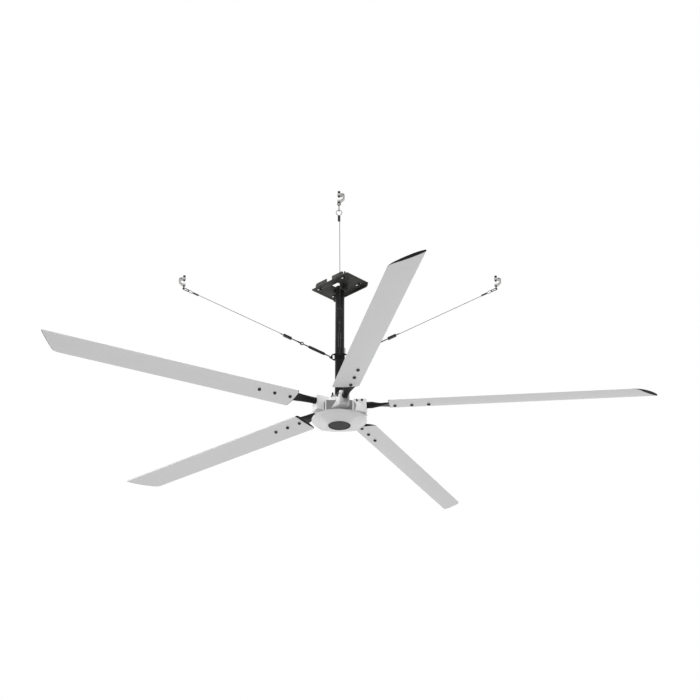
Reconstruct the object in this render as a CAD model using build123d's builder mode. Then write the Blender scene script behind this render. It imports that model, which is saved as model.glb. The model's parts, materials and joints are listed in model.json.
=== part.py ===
"""High volume low speed ceiling fan: plate, downrod, four guy lines, direct drive hub and five blades.

Millimetres, +Z up. The origin is the centre of the ceiling plate's top face, X along the plate's long
side. Blade heights are counted from the seat level, the plane of the seats of the blade bolts.
"""
from build123d import *
from math import acos, atan2, cos, degrees, hypot, radians, sin
import os

os.makedirs("parts", exist_ok=True)

# Whole fan
blade_count = 5
sector = 360 / blade_count
first_blade_azimuth = -33.34
rotor_radius = 2133.5
plate_to_seats = 937.5
overrun = 2.0

# Fits shared by the pieces
running_fit = 0.05
bolt_clearance = 0.25
thread_fit = 0.05
seat_gap = 0.3
joint_gap = 0.1

# Ceiling plate
plate_length = 357.0
plate_width = 214.0
plate_thickness = 6.0
plate_corner = 8.0
lip_height = 28.0
lip_notch = 54.0
lip_inset = 42.0
skirt_height = 22.0
flange_end_radius = 18.0
bend_radius = 5.0
slot_spacing_x = 240.0
slot_spacing_y = 144.0
slot_shift = 10.0
slot_length = 50.0
slot_width = 15.0
opening_length = 62.0
opening_width = 106.0
opening_corner = 5.0

# Bolts that hold the plate to the building
mount_bolt_diameter = 12.0
mount_bolt_standout = 42.0
mount_head_across = 19.0
mount_head_height = 8.0
mount_washer_diameter = 26.0
mount_washer_thickness = 2.5

# Downrod and its cross bolt
tube_diameter = 63.5
tube_wall = 4.8
tube_headroom = 6.0
bracket_gap = 1.5
bracket_thickness = 8.0
bracket_width = 70.0
bracket_corner = 16.0
pivot_drop = 24.0
pivot_edge = 18.0
pivot_diameter = 16.0
pivot_head_across = 24.0
pivot_head_height = 10.0
pivot_nut_height = 13.0
pivot_washer_diameter = 30.0
pivot_washer_thickness = 3.0
pivot_thread_end = 6.0

# Foot of the downrod
foot_size = 90.0
foot_corner = 10.0
foot_thickness = 12.0
foot_bolt_spacing = 66.0
foot_bolt_diameter = 12.0
foot_nut_across = 18.0
foot_nut_height = 10.0
foot_bolt_tip = 19.0
foot_bolt_head = 7.5

# Guy ring on the downrod
ring_height = 385.0
ring_radius = 59.0
ring_bar = 9.0
sleeve_height = 40.0
sleeve_wall = 4.5
spoke_bar = 8.0
ring_screw_diameter = 8.0
ring_screw_head = 12.0
ring_screw_head_height = 8.0
ring_screw_raise = 12.0

# Guy lines: azimuths, far anchor and wire
guy_azimuths = (45.0, 135.0, 225.0, 315.0)
clamp_facings = (45.0, 45.0, 225.0, 45.0)
clamp_reach = 1100.0
anchor_height = 922.0
wire_diameter = 4.0
strand_offset = 4.0

# Hook, turnbuckle and eye
hook_bar = 8.0
hook_sweep = 250.0
body_start = 48.0
body_length = 128.0
body_diameter = 20.0
body_flats = 18.0
body_flats_length = 36.0
body_taper = 10.0
body_end_diameter = 15.0
rod_insert = 38.0
eye_reach = 52.0
eye_radius = 10.0
eye_bar = 7.0

# Thimble, loops, gripper and ferrule
thimble_wall = 1.2
thimble_width = 6.0
thimble_length = 26.0
crown_radius = 10.0
crown_play = 0.7
lower_loop_length = 68.0
gripper_length = 64.0
gripper_width = 25.0
gripper_thickness = 15.0
gripper_corner = 6.0
gripper_edge = 2.0
tail_length = 26.0
upper_loop_radius = 18.5
upper_loop_length = 21.5
ferrule_length = 42.0
ferrule_width = 17.0
ferrule_thickness = 9.0

# Link, eye bolt and beam clamp
link_bar = 6.0
link_half_width = 6.3
link_pitch = 36.0
eyebolt_radius = 9.0
eyebolt_bar = 6.0
eyebolt_collar_diameter = 14.0
eyebolt_collar_height = 2.0
eyebolt_shank = 8.0
eyebolt_shank_length = 11.0
clamp_width = 24.0
clamp_lower_arm = 14.0
clamp_upper_arm = 16.0
clamp_jaw = 32.0
clamp_back = 12.0
clamp_throat = 25.0
clamp_seat = 12.0
clamp_slope_rise = 24.0
clamp_inner_rise = 12.0
clamp_corner = 14.0
clamp_knee = 10.0
clamp_inner_corner = 7.0
clamp_rim = 4.0
clamp_web = 8.0
screw_diameter = 12.0
screw_drop = 10.0
screw_standout = 10.0
screw_head_across = 17.0
screw_head_height = 9.0
screw_tip_chamfer = 1.5

# Hub casting, heights from the seat level
core_apothem = 128.0
core_corner = 8.0
core_top = 1.0
core_bottom = -93.0
cavity_radius = 116.5
cavity_roof = -20.0
panel_lag = 11.66
flange_radius = 183.0
flange_thickness = 6.0
socket_front = 187.0
socket_top = 46.0
socket_floor = -56.0
socket_lead_side = 31.0
socket_trail_side = 36.0
socket_trail_floor = 84.0
socket_band = 18.0
socket_inner_top = 95.0
socket_inner_floor = 105.0
socket_bore_end = 97.0
bearing_boss_radius = 58.0
bearing_lip_radius = 40.0
bearing_lip_height = 4.0

# Covers of the hub
top_cover_height = 58.0
top_cover_flange_radius = 92.0
top_cover_foot_radius = 79.0
top_cover_top_radius = 64.0
top_cover_bore = 34.0
cover_wall = 3.0
dome_radius = 187.0
dome_depth = 34.0
dome_flat = 80.0
dome_rim_slope = 1.0
dome_inner_radius = 160.0
dome_inner_half = 168.0
dome_inner_flat = 76.0
dome_azimuth = 45.0
badge_radius = 75.9
badge_rim_radius = 80.0
badge_thickness = 2.6
badge_rim_height = 3.0
badge_gap = 0.1

# Screws of the covers and of the end plate
cover_screw_diameter = 5.0
cover_screw_head = 9.0
cover_screw_head_height = 3.0
cover_screw_bite = 4.0
top_screw_radius = 86.0
dome_screw_radius = 172.0
plate_screw_radius = 130.0
plate_screw_bite = 14.0

# Motor, heights from the seat level
shaft_flange_radius = 60.0
shaft_flange_bottom = 62.0
shaft_flange_thickness = 12.0
shaft_neck_radius = 30.0
shaft_body_radius = 34.0
shaft_body_bottom = -76.0
shaft_end_radius = 15.0
shaft_end_bottom = -112.0
shaft_bore_radius = 9.0
upper_bearing_bottom = 4.0
upper_bearing_height = 18.0
upper_bearing_outer = 47.5
upper_inner_ring = 35.5
upper_outer_ring = 42.0
upper_ball_radius = 5.4
upper_ball_circle = 38.75
upper_ball_count = 12
lower_bearing_bottom = -100.0
lower_bearing_height = 15.0
lower_bearing_outer = 31.0
lower_inner_ring = 20.0
lower_outer_ring = 26.0
lower_ball_radius = 4.4
lower_ball_circle = 23.0
lower_ball_count = 9
end_plate_radius = 138.0
end_plate_thickness = 6.0
end_boss_radius = 38.0
end_boss_lip = 2.0
end_boss_lip_radius = 28.0
nut_radius = 21.0
nut_height = 7.0
stator_hub_radius = 60.0
stator_radius = 100.5
stator_bottom = -70.0
stator_height = 38.0
tooth_count = 18
tooth_width = 12.0
tooth_tip_width = 26.0
tooth_tip_depth = 5.0
coil_start = 64.0
coil_end = 94.0
coil_width = 20.0
coil_overhang = 6.5
magnet_count = 20
magnet_inner = 102.0
magnet_outer = 108.0
magnet_slit = 4.0
magnet_height = 46.0
rotor_ring_height = 50.0
rotor_ring_bottom = -76.0

# Blade arms
arm_height = 12.0
arm_diameter = 44.8
arm_inset = 1.0
shank_show = 38.0
tang_lead = 9.0
tang_margin = 35.0
tang_width = 88.0
tang_thickness = 10.0
tang_edge = 4.6
arm_bolt_radii = (122.0, 157.0)
arm_bolt_height = 36.0
arm_bolt_diameter = 8.0
arm_bolt_head = 13.0
arm_bolt_head_height = 7.0
arm_bolt_depth = 56.0
boss_washer_diameter = 16.0
boss_washer_thickness = 1.6

# Blades
chord = 188.1
blade_thickness = 22.0
blade_pitch = 9.76
blade_root_radius = 339.0
root_lead_corner = 24.0
root_trail_corner = 20.0
tip_rake = 148.5
tip_round = 75.0
tip_lead_round = 6.0
cap_thickness = 3.0
seat_share = 0.368
upper_shares = ((0.035, 0.72), (0.17, 0.93), (0.42, 1.0), (0.68, 0.85), (1.0, 0.46))
lower_shares = ((0.035, 0.14), (0.17, 0.04), (0.368, 0.0), (0.63, 0.09), (1.0, 0.405))
nose_share = 0.43
nose_cell_shares = ((0.03, 0.39), (0.03, 0.47), (0.06, 0.62), (0.11, 0.72), (0.11, 0.2), (0.06, 0.26))
tail_cell_shares = ((0.63, 0.22), (0.63, 0.76), (0.9, 0.46), (0.9, 0.41))
arm_cell_width = 92.0
arm_cell_floor = 4.0
arm_cell_height = 12.0
blade_bolt_count = 3
blade_bolt_inset = 38.0
blade_bolt_spacing = 114.0
blade_bolt_diameter = 12.0
blade_bolt_head = 19.0
blade_bolt_head_height = 7.0
blade_washer_diameter = 24.0
blade_washer_thickness = 2.0

# Levels worked out from the sizes above
plate_under = -plate_thickness
seat_level = plate_under - plate_to_seats
tube_radius = tube_diameter / 2
tube_top = plate_under - tube_headroom
pivot_level = plate_under - pivot_drop
shaft_top = seat_level + shaft_flange_bottom + shaft_flange_thickness
foot_top = shaft_top + foot_thickness
ring_level = seat_level + ring_height
arm_level = seat_level + arm_height
core_floor_level = seat_level + core_bottom
bracket_inner = tube_radius + bracket_gap
blade_azimuths = [first_blade_azimuth + sector * number for number in range(blade_count)]
panel_azimuths = [azimuth - panel_lag for azimuth in blade_azimuths]
corner_azimuths = [azimuth + sector / 2 for azimuth in panel_azimuths]
first_blade_bolt = blade_root_radius + blade_bolt_inset
blade_bolt_radii = [first_blade_bolt + blade_bolt_spacing * number for number in range(blade_bolt_count)]
arm_shank_end = socket_front + shank_show
arm_tang_start = blade_root_radius - tang_lead
arm_tang_end = blade_bolt_radii[-1] + tang_margin
tip_trail_radius = rotor_radius - tip_rake

# Guy line measured along itself from the centre of the ring's bar
guy_run = clamp_reach - ring_radius
guy_rise = anchor_height - ring_height
guy_length = hypot(guy_run, guy_rise)
guy_slope = degrees(atan2(guy_rise, guy_run))
hook_radius = ring_bar / 2 + seat_gap + hook_bar / 2
body_end = body_start + body_length
eye_centre = body_end + eye_reach
eye_hole = eye_radius - eye_bar / 2
thimble_inner = crown_radius - wire_diameter / 2 - running_fit - thimble_wall
crown_limit = eye_centre + eye_hole - crown_play
crown_centre = crown_limit + thimble_inner
gripper_start = crown_centre + lower_loop_length
gripper_end = gripper_start + gripper_length
upper_crown = guy_length - link_pitch
upper_loop_centre = upper_crown - upper_loop_radius
ferrule_end = upper_loop_centre - upper_loop_length
ferrule_start = ferrule_end - ferrule_length
link_low = upper_crown - link_bar / 2 - seat_gap - wire_diameter / 2
link_high = guy_length + link_half_width


def line_planes(azimuth, along=0.0):
    """Planes at a place on the guy line: upright (x along, y up), flat (x along, y sideways), cross."""
    turn = radians(azimuth)
    slope = radians(guy_slope)
    reach = ring_radius + along * cos(slope)
    origin = (reach * cos(turn), reach * sin(turn), ring_level + along * sin(slope))
    ahead = Vector(cos(slope) * cos(turn), cos(slope) * sin(turn), sin(slope))
    aside = Vector(-sin(turn), cos(turn), 0)
    above = ahead.cross(aside)
    upright = Plane(origin=origin, x_dir=ahead, z_dir=aside * -1)
    flat = Plane(origin=origin, x_dir=ahead, z_dir=above)
    cross = Plane(origin=origin, x_dir=aside, z_dir=ahead)
    return upright, flat, cross


def spoke_plane(azimuth, level=0.0):
    """Level plane at a height, x along the azimuth and y to its leading side."""
    turn = radians(azimuth)
    return Plane(origin=(0, 0, level), x_dir=(cos(turn), sin(turn), 0), z_dir=(0, 0, 1))


def radial_plane(azimuth, radius, level):
    """Upright plane that faces outwards at a radius."""
    turn = radians(azimuth)
    origin = (radius * cos(turn), radius * sin(turn), level)
    return Plane(origin=origin, x_dir=(-sin(turn), cos(turn), 0), z_dir=(cos(turn), sin(turn), 0))


def trailing_plane(azimuth, radius, aside, level):
    """Upright plane on the trailing side of a spoke, facing away from it."""
    turn = radians(azimuth)
    out = Vector(cos(turn), sin(turn), 0)
    away = Vector(sin(turn), -cos(turn), 0)
    return Plane(origin=out * radius + away * aside + Vector(0, 0, level), x_dir=out, z_dir=away)


def leave_angle(radius, reach, spread):
    """Angle on a circle at the origin where the straight line to a place at reach and spread leaves it."""
    return degrees(atan2(spread, reach) + acos(radius / hypot(reach, spread)))


def draw_loop(radius, reach):
    """Line of a wire loop: crown round the origin, both strands easing to the strand offset at reach."""
    bend = (reach ** 2 + strand_offset ** 2 - radius ** 2) / (2 * (radius - strand_offset))
    angle = degrees(atan2(strand_offset + bend, reach))
    CenterArc((reach, strand_offset + bend), bend, 270, angle - 90)
    CenterArc((0, 0), radius, angle, 360 - 2 * angle)
    CenterArc((reach, -strand_offset - bend), bend, 180 - angle, angle - 90)


# Ceiling plate: folded steel, one long edge turned up and notched, the other turned down
with BuildPart() as ceiling_plate:
    with BuildSketch(Plane.XY.offset(plate_under)):
        RectangleRounded(plate_length, plate_width, plate_corner)
    extrude(amount=plate_thickness)
    lip_plane = Plane(origin=(0, -plate_width / 2, 0), x_dir=(1, 0, 0), z_dir=(0, -1, 0))
    with BuildSketch(lip_plane):
        with Locations((0, (lip_height - plate_thickness) / 2)):
            Rectangle(plate_length - 2 * lip_inset, lip_height + plate_thickness)
        with Locations((0, lip_height / 2)):
            Rectangle(lip_notch, lip_height, mode=Mode.SUBTRACT)
        lip_corners = vertices().group_by(Axis.Y)[-1].sort_by(Axis.X)
        fillet([lip_corners[0], lip_corners[-1]], flange_end_radius)
    extrude(amount=-plate_thickness)
    skirt_plane = Plane(origin=(0, plate_width / 2, 0), x_dir=(-1, 0, 0), z_dir=(0, 1, 0))
    with BuildSketch(skirt_plane):
        with Locations((0, -(skirt_height + plate_thickness) / 2)):
            Rectangle(plate_length - 2 * plate_corner, skirt_height + plate_thickness)
        fillet(vertices().group_by(Axis.Y)[0], flange_end_radius)
    extrude(amount=-plate_thickness)
    inner_up = plate_width / 2 - plate_thickness
    bend_edges = edges().filter_by(Axis.X).filter_by_position(Axis.Z, plate_under - joint_gap, joint_gap)
    bend_edges = bend_edges.filter_by_position(Axis.Y, -inner_up - joint_gap, inner_up + joint_gap)
    fillet(bend_edges, bend_radius)
    with BuildSketch(Plane.XY.offset(plate_under)):
        RectangleRounded(opening_length, opening_width, opening_corner)
        with Locations((-slot_shift, 0)):
            with GridLocations(slot_spacing_x, slot_spacing_y, 2, 2):
                SlotOverall(slot_length, slot_width)
    extrude(amount=plate_thickness, mode=Mode.SUBTRACT)
ceiling_plate.part.label = "ceiling_plate"
export_step(ceiling_plate.part, "parts/ceiling_plate.step")

# Bolts that stand up through the slots, heads and washers below the plate
with BuildPart() as mounting_bolts:
    with BuildSketch(Plane.XY.offset(plate_under)):
        with GridLocations(slot_spacing_x, slot_spacing_y, 2, 2):
            Circle(mount_washer_diameter / 2)
    extrude(amount=-mount_washer_thickness)
    with BuildSketch(Plane.XY.offset(plate_under - mount_washer_thickness)):
        with GridLocations(slot_spacing_x, slot_spacing_y, 2, 2):
            RegularPolygon(mount_head_across / 2, 6, major_radius=False)
    extrude(amount=-mount_head_height)
    with BuildSketch(Plane.XY.offset(plate_under - mount_washer_thickness)):
        with GridLocations(slot_spacing_x, slot_spacing_y, 2, 2):
            Circle(mount_bolt_diameter / 2)
    extrude(amount=mount_washer_thickness + plate_thickness + mount_bolt_standout)
mounting_bolts.part.label = "mounting_bolts"
export_step(mounting_bolts.part, "parts/mounting_bolts.step")

# Two ears under the plate, one each side of the rod, for the cross bolt
with BuildPart() as hanger_brackets:
    for side in (1, -1):
        ear_plane = Plane(origin=(side * bracket_inner, 0, 0), x_dir=(0, side, 0), z_dir=(side, 0, 0))
        with BuildSketch(ear_plane):
            with Locations((0, plate_under - (pivot_drop + pivot_edge) / 2)):
                Rectangle(bracket_width, pivot_drop + pivot_edge)
            fillet(vertices().group_by(Axis.Y)[0], bracket_corner)
            with Locations((0, pivot_level)):
                Circle(pivot_diameter / 2 + bolt_clearance, mode=Mode.SUBTRACT)
        extrude(amount=bracket_thickness)
hanger_brackets.part.label = "hanger_brackets"
export_step(hanger_brackets.part, "parts/hanger_brackets.step")

# Cross bolt, head and washer on the +X ear, nut and washer on the other
bracket_outer = bracket_inner + bracket_thickness
head_seat = bracket_outer + pivot_washer_thickness
nut_end = head_seat + pivot_nut_height
with BuildPart() as pivot_bolt:
    with BuildSketch(Plane.YZ.offset(bracket_outer)):
        with Locations((0, pivot_level)):
            Circle(pivot_washer_diameter / 2)
    extrude(amount=pivot_washer_thickness)
    with BuildSketch(Plane.YZ.offset(head_seat)):
        with Locations((0, pivot_level)):
            RegularPolygon(pivot_head_across / 2, 6, major_radius=False)
    extrude(amount=pivot_head_height)
    with BuildSketch(Plane.YZ.offset(head_seat)):
        with Locations((0, pivot_level)):
            Circle(pivot_diameter / 2)
    extrude(amount=-(head_seat + nut_end + pivot_thread_end))
    with BuildSketch(Plane.YZ.offset(-bracket_outer)):
        with Locations((0, pivot_level)):
            Circle(pivot_washer_diameter / 2)
            Circle(pivot_diameter / 2 + thread_fit, mode=Mode.SUBTRACT)
    extrude(amount=-pivot_washer_thickness)
    with BuildSketch(Plane.YZ.offset(-head_seat)):
        with Locations((0, pivot_level)):
            RegularPolygon(pivot_head_across / 2, 6, major_radius=False)
            Circle(pivot_diameter / 2 + thread_fit, mode=Mode.SUBTRACT)
    extrude(amount=-pivot_nut_height)
pivot_bolt.part.label = "pivot_bolt"
export_step(pivot_bolt.part, "parts/pivot_bolt.step")

# Downrod with its cross bolt holes
with BuildPart() as down_tube:
    with BuildSketch(Plane.XY.offset(foot_top)):
        Circle(tube_radius)
        Circle(tube_radius - tube_wall, mode=Mode.SUBTRACT)
    extrude(amount=tube_top - foot_top)
    with BuildSketch(Plane.YZ):
        with Locations((0, pivot_level)):
            Circle(pivot_diameter / 2 + bolt_clearance)
    extrude(amount=tube_diameter, both=True, mode=Mode.SUBTRACT)
down_tube.part.label = "down_tube"
export_step(down_tube.part, "parts/down_tube.step")

# Square foot flange under the rod, on the motor's fixed flange
with BuildPart() as foot_flange:
    with BuildSketch(Plane.XY.offset(shaft_top)):
        RectangleRounded(foot_size, foot_size, foot_corner)
        Circle(shaft_bore_radius, mode=Mode.SUBTRACT)
        with GridLocations(foot_bolt_spacing, foot_bolt_spacing, 2, 2):
            Circle(foot_bolt_diameter / 2 + bolt_clearance, mode=Mode.SUBTRACT)
    extrude(amount=foot_thickness)
foot_flange.part.label = "foot_flange"
export_step(foot_flange.part, "parts/foot_flange.step")

with BuildPart() as foot_bolts:
    with BuildSketch(Plane.XY.offset(foot_top)):
        with GridLocations(foot_bolt_spacing, foot_bolt_spacing, 2, 2):
            RegularPolygon(foot_nut_across / 2, 6, major_radius=False)
    extrude(amount=foot_nut_height)
    with BuildSketch(Plane.XY.offset(foot_top)):
        with GridLocations(foot_bolt_spacing, foot_bolt_spacing, 2, 2):
            Circle(foot_bolt_diameter / 2)
    extrude(amount=foot_nut_height + foot_bolt_tip)
    with BuildSketch(Plane.XY.offset(foot_top)):
        with GridLocations(foot_bolt_spacing, foot_bolt_spacing, 2, 2):
            Circle(foot_bolt_diameter / 2)
    extrude(amount=-(foot_thickness + shaft_flange_thickness - foot_bolt_head))
foot_bolts.part.label = "foot_bolts"
export_step(foot_bolts.part, "parts/foot_bolts.step")

# Guy ring: bar ring on four spokes of a sleeve round the rod
sleeve_inner = tube_radius + joint_gap
sleeve_outer = sleeve_inner + sleeve_wall
with BuildPart() as guy_ring:
    with BuildSketch(Plane.XY.offset(ring_level - sleeve_height / 2)):
        Circle(sleeve_outer)
    extrude(amount=sleeve_height)
    for azimuth in (0, 90, 180, 270):
        with BuildSketch(radial_plane(azimuth, 0, ring_level)):
            Circle(spoke_bar / 2)
        extrude(amount=ring_radius)
    with BuildSketch(Plane.XZ):
        with Locations((ring_radius, ring_level)):
            Circle(ring_bar / 2)
    revolve(axis=Axis.Z)
    with BuildSketch(Plane.XY.offset(ring_level - sleeve_height / 2)):
        Circle(sleeve_inner)
    extrude(amount=sleeve_height, mode=Mode.SUBTRACT)
    for azimuth in (0, 180):
        with BuildSketch(radial_plane(azimuth, 0, ring_level + ring_screw_raise)):
            Circle(ring_screw_diameter / 2 + thread_fit)
        extrude(amount=ring_radius, mode=Mode.SUBTRACT)
guy_ring.part.label = "guy_ring"
export_step(guy_ring.part, "parts/guy_ring.step")

with BuildPart() as ring_screws:
    for azimuth in (0, 180):
        with BuildSketch(radial_plane(azimuth, tube_radius + joint_gap, ring_level + ring_screw_raise)):
            Circle(ring_screw_diameter / 2)
        extrude(amount=sleeve_wall)
        with BuildSketch(radial_plane(azimuth, sleeve_outer, ring_level + ring_screw_raise)):
            Circle(ring_screw_head / 2)
        extrude(amount=ring_screw_head_height)
ring_screws.part.label = "ring_screws"
export_step(ring_screws.part, "parts/ring_screws.step")

# Hooks: a bowl round the ring's bar on a rod that ends in the turnbuckle
with BuildPart() as guy_hooks:
    for azimuth in guy_azimuths:
        upright, flat, cross = line_planes(azimuth)
        with BuildSketch(flat):
            with Locations((hook_radius, 0)):
                Circle(hook_bar / 2)
        bowl_axis = Axis(origin=flat.origin, direction=upright.z_dir)
        revolve(axis=bowl_axis, revolution_arc=-hook_sweep)
        rod_planes = line_planes(azimuth, hook_radius)
        with BuildSketch(rod_planes[2]):
            Circle(hook_bar / 2)
        extrude(amount=body_start + rod_insert - hook_radius)
guy_hooks.part.label = "guy_hooks"
export_step(guy_hooks.part, "parts/guy_hooks.step")

# Turnbuckle bodies, bored for the rods of hook and eye, with flats for a spanner
for number, azimuth in enumerate(guy_azimuths, start=1):
    with BuildPart() as turnbuckle_body:
        with BuildSketch(line_planes(azimuth, body_start)[0]):
            with BuildLine():
                Polyline(
                    (0, 0),
                    (0, body_end_diameter / 2),
                    (body_taper, body_diameter / 2),
                    (body_length - body_taper, body_diameter / 2),
                    (body_length, body_end_diameter / 2),
                    (body_length, 0),
                    close=True,
                )
            make_face()
        start_plane = line_planes(azimuth, body_start)[2]
        revolve(axis=Axis(origin=start_plane.origin, direction=start_plane.z_dir))
        with BuildSketch(line_planes(azimuth, body_start + (body_length - body_flats_length) / 2)[2]):
            Circle(body_diameter)
            RegularPolygon(body_flats / 2, 6, major_radius=False, mode=Mode.SUBTRACT)
        extrude(amount=body_flats_length, mode=Mode.SUBTRACT)
        with BuildSketch(start_plane):
            Circle(hook_bar / 2 + running_fit)
        extrude(amount=body_length, mode=Mode.SUBTRACT)
    turnbuckle_body.part.label = f"turnbuckle_body_{number}"
    export_step(turnbuckle_body.part, f"parts/turnbuckle_body_{number}.step")

# Eye ends: a rod out of the turnbuckle and a closed eye
with BuildPart() as guy_eyes:
    for azimuth in guy_azimuths:
        upright, flat, cross = line_planes(azimuth, eye_centre)
        with BuildSketch(flat):
            with Locations((eye_radius, 0)):
                Circle(eye_bar / 2)
        revolve(axis=Axis(origin=flat.origin, direction=upright.z_dir))
        with BuildSketch(line_planes(azimuth, body_end - rod_insert)[2]):
            Circle(hook_bar / 2)
        extrude(amount=rod_insert + eye_reach - eye_radius)
guy_eyes.part.label = "guy_eyes"
export_step(guy_eyes.part, "parts/guy_eyes.step")

# Thimbles in the lower loops
thimble_outer = thimble_inner + thimble_wall
thimble_angle = leave_angle(thimble_outer, thimble_length, thimble_wall)
thimble_turn = 360 - 2 * thimble_angle
with BuildPart() as wire_thimbles:
    for azimuth in guy_azimuths:
        with BuildSketch(line_planes(azimuth, crown_centre)[1].offset(-thimble_width / 2)):
            with BuildLine():
                outer_arc = CenterArc((0, 0), thimble_outer, thimble_angle, thimble_turn)
                Polyline(outer_arc @ 1, (thimble_length, -thimble_wall), (thimble_length, thimble_wall),
                         outer_arc @ 0)
            make_face()
            with BuildLine():
                inner_arc = CenterArc((0, 0), thimble_inner, thimble_angle, thimble_turn)
                Polyline(inner_arc @ 1, (thimble_length - 2 * thimble_wall, 0), inner_arc @ 0)
            make_face(mode=Mode.SUBTRACT)
        extrude(amount=thimble_width)
wire_thimbles.part.label = "wire_thimbles"
export_step(wire_thimbles.part, "parts/wire_thimbles.step")

# Wire loops: one round each thimble, one through each oval link, and the short tail at each gripper
with BuildPart() as wire_loops:
    for azimuth in guy_azimuths:
        lower_plane = line_planes(azimuth, crown_centre)[1]
        upper_place = line_planes(azimuth, upper_loop_centre)[1]
        upper_plane = Plane(
            origin=upper_place.origin,
            x_dir=upper_place.x_dir * -1,
            z_dir=upper_place.z_dir,
        )
        for loop_plane, radius, reach in (
            (lower_plane, crown_radius, lower_loop_length),
            (upper_plane, upper_loop_radius, upper_loop_length),
        ):
            with BuildLine(loop_plane) as loop_line:
                draw_loop(radius, reach)
            with BuildSketch(Plane(origin=loop_line.line @ 0, z_dir=loop_line.line % 0)):
                Circle(wire_diameter / 2)
            sweep()
        with BuildSketch(line_planes(azimuth, gripper_end)[2]):
            with Locations((-strand_offset, 0)):
                Circle(wire_diameter / 2)
        extrude(amount=tail_length)
wire_loops.part.label = "wire_loops"
export_step(wire_loops.part, "parts/wire_loops.step")

with BuildPart() as wire_grippers:
    for azimuth in guy_azimuths:
        grip_plane = line_planes(azimuth, (gripper_start + gripper_end) / 2)[1]
        with BuildSketch(grip_plane.offset(-gripper_thickness / 2)):
            RectangleRounded(gripper_length, gripper_width, gripper_corner)
        extrude(amount=gripper_thickness)
    fillet(faces().filter_by(GeomType.PLANE).sort_by(SortBy.AREA)[-8:].edges(), gripper_edge)
wire_grippers.part.label = "wire_grippers"
export_step(wire_grippers.part, "parts/wire_grippers.step")

with BuildPart() as wire_ferrules:
    for azimuth in guy_azimuths:
        with BuildSketch(line_planes(azimuth, ferrule_start)[2]):
            RectangleRounded(ferrule_width, ferrule_thickness, ferrule_thickness / 2 - joint_gap)
        extrude(amount=ferrule_length)
wire_ferrules.part.label = "wire_ferrules"
export_step(wire_ferrules.part, "parts/wire_ferrules.step")

# Taut wires from gripper to ferrule, one straight run each
for number, azimuth in enumerate(guy_azimuths, start=1):
    with BuildPart() as guy_wire:
        with BuildSketch(line_planes(azimuth, gripper_end)[2]):
            with Locations((strand_offset, 0)):
                Circle(wire_diameter / 2)
        extrude(amount=ferrule_start - gripper_end)
    guy_wire.part.label = f"guy_wire_{number}"
    export_step(guy_wire.part, f"parts/guy_wire_{number}.step")
    print("guy wire", number, "length", round(ferrule_start - gripper_end, 1))

# Oval links between the upper loops and the eye bolts
link_straight = link_high - link_low - 2 * link_half_width
with BuildPart() as oval_links:
    for azimuth in guy_azimuths:
        upright = line_planes(azimuth, link_low + link_half_width)[0]
        with BuildLine(upright) as link_line:
            Line((0, link_half_width), (link_straight, link_half_width))
            CenterArc((link_straight, 0), link_half_width, 90, -180)
            Line((link_straight, -link_half_width), (0, -link_half_width))
            CenterArc((0, 0), link_half_width, 270, -180)
        with BuildSketch(Plane(origin=link_line.line @ 0, z_dir=link_line.line % 0)):
            Circle(link_bar / 2)
        sweep()
oval_links.part.label = "oval_links"
export_step(oval_links.part, "parts/oval_links.step")

# Eye bolts under the clamps
anchor_level = seat_level + anchor_height
eyebolt_centre = anchor_level + eyebolt_radius
collar_bottom = eyebolt_centre + eyebolt_radius
clamp_bottom = collar_bottom + eyebolt_bar / 2 + eyebolt_collar_height
with BuildPart() as clamp_eyebolts:
    for azimuth in guy_azimuths:
        eye_plane = radial_plane(azimuth, clamp_reach, eyebolt_centre)
        level_plane = Plane(origin=eye_plane.origin, x_dir=eye_plane.x_dir, z_dir=(0, 0, 1))
        with BuildSketch(level_plane):
            with Locations((eyebolt_radius, 0)):
                Circle(eyebolt_bar / 2)
        revolve(axis=Axis(origin=eye_plane.origin, direction=eye_plane.z_dir))
        with BuildSketch(level_plane.offset(eyebolt_radius)):
            Circle(eyebolt_collar_diameter / 2)
        extrude(amount=clamp_bottom - collar_bottom)
        with BuildSketch(level_plane.offset(eyebolt_radius)):
            Circle(eyebolt_shank / 2)
        extrude(amount=clamp_bottom - collar_bottom + eyebolt_shank_length)
clamp_eyebolts.part.label = "clamp_eyebolts"
export_step(clamp_eyebolts.part, "parts/clamp_eyebolts.step")

# Beam clamps: C castings, with their set screws
jaw_floor = clamp_bottom + clamp_lower_arm
jaw_roof = jaw_floor + clamp_jaw
clamp_top = jaw_roof + clamp_upper_arm
clamp_height = clamp_top - clamp_bottom
screw_tip = jaw_roof - screw_drop
clamp_nose = clamp_width / 2
clamp_outer = clamp_throat + clamp_back
pocket_depth = (clamp_width - clamp_web) / 2
clamp_outline = (
    (-clamp_nose, clamp_bottom),
    (clamp_seat, clamp_bottom),
    (clamp_outer, clamp_bottom + clamp_slope_rise),
    (clamp_outer, clamp_top),
    (-clamp_nose, clamp_top),
)
jaw_outline = (
    (-clamp_nose - overrun, jaw_floor),
    (clamp_seat, jaw_floor),
    (clamp_throat, jaw_floor + clamp_inner_rise),
    (clamp_throat, jaw_roof),
    (-clamp_nose - overrun, jaw_roof),
)


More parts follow.
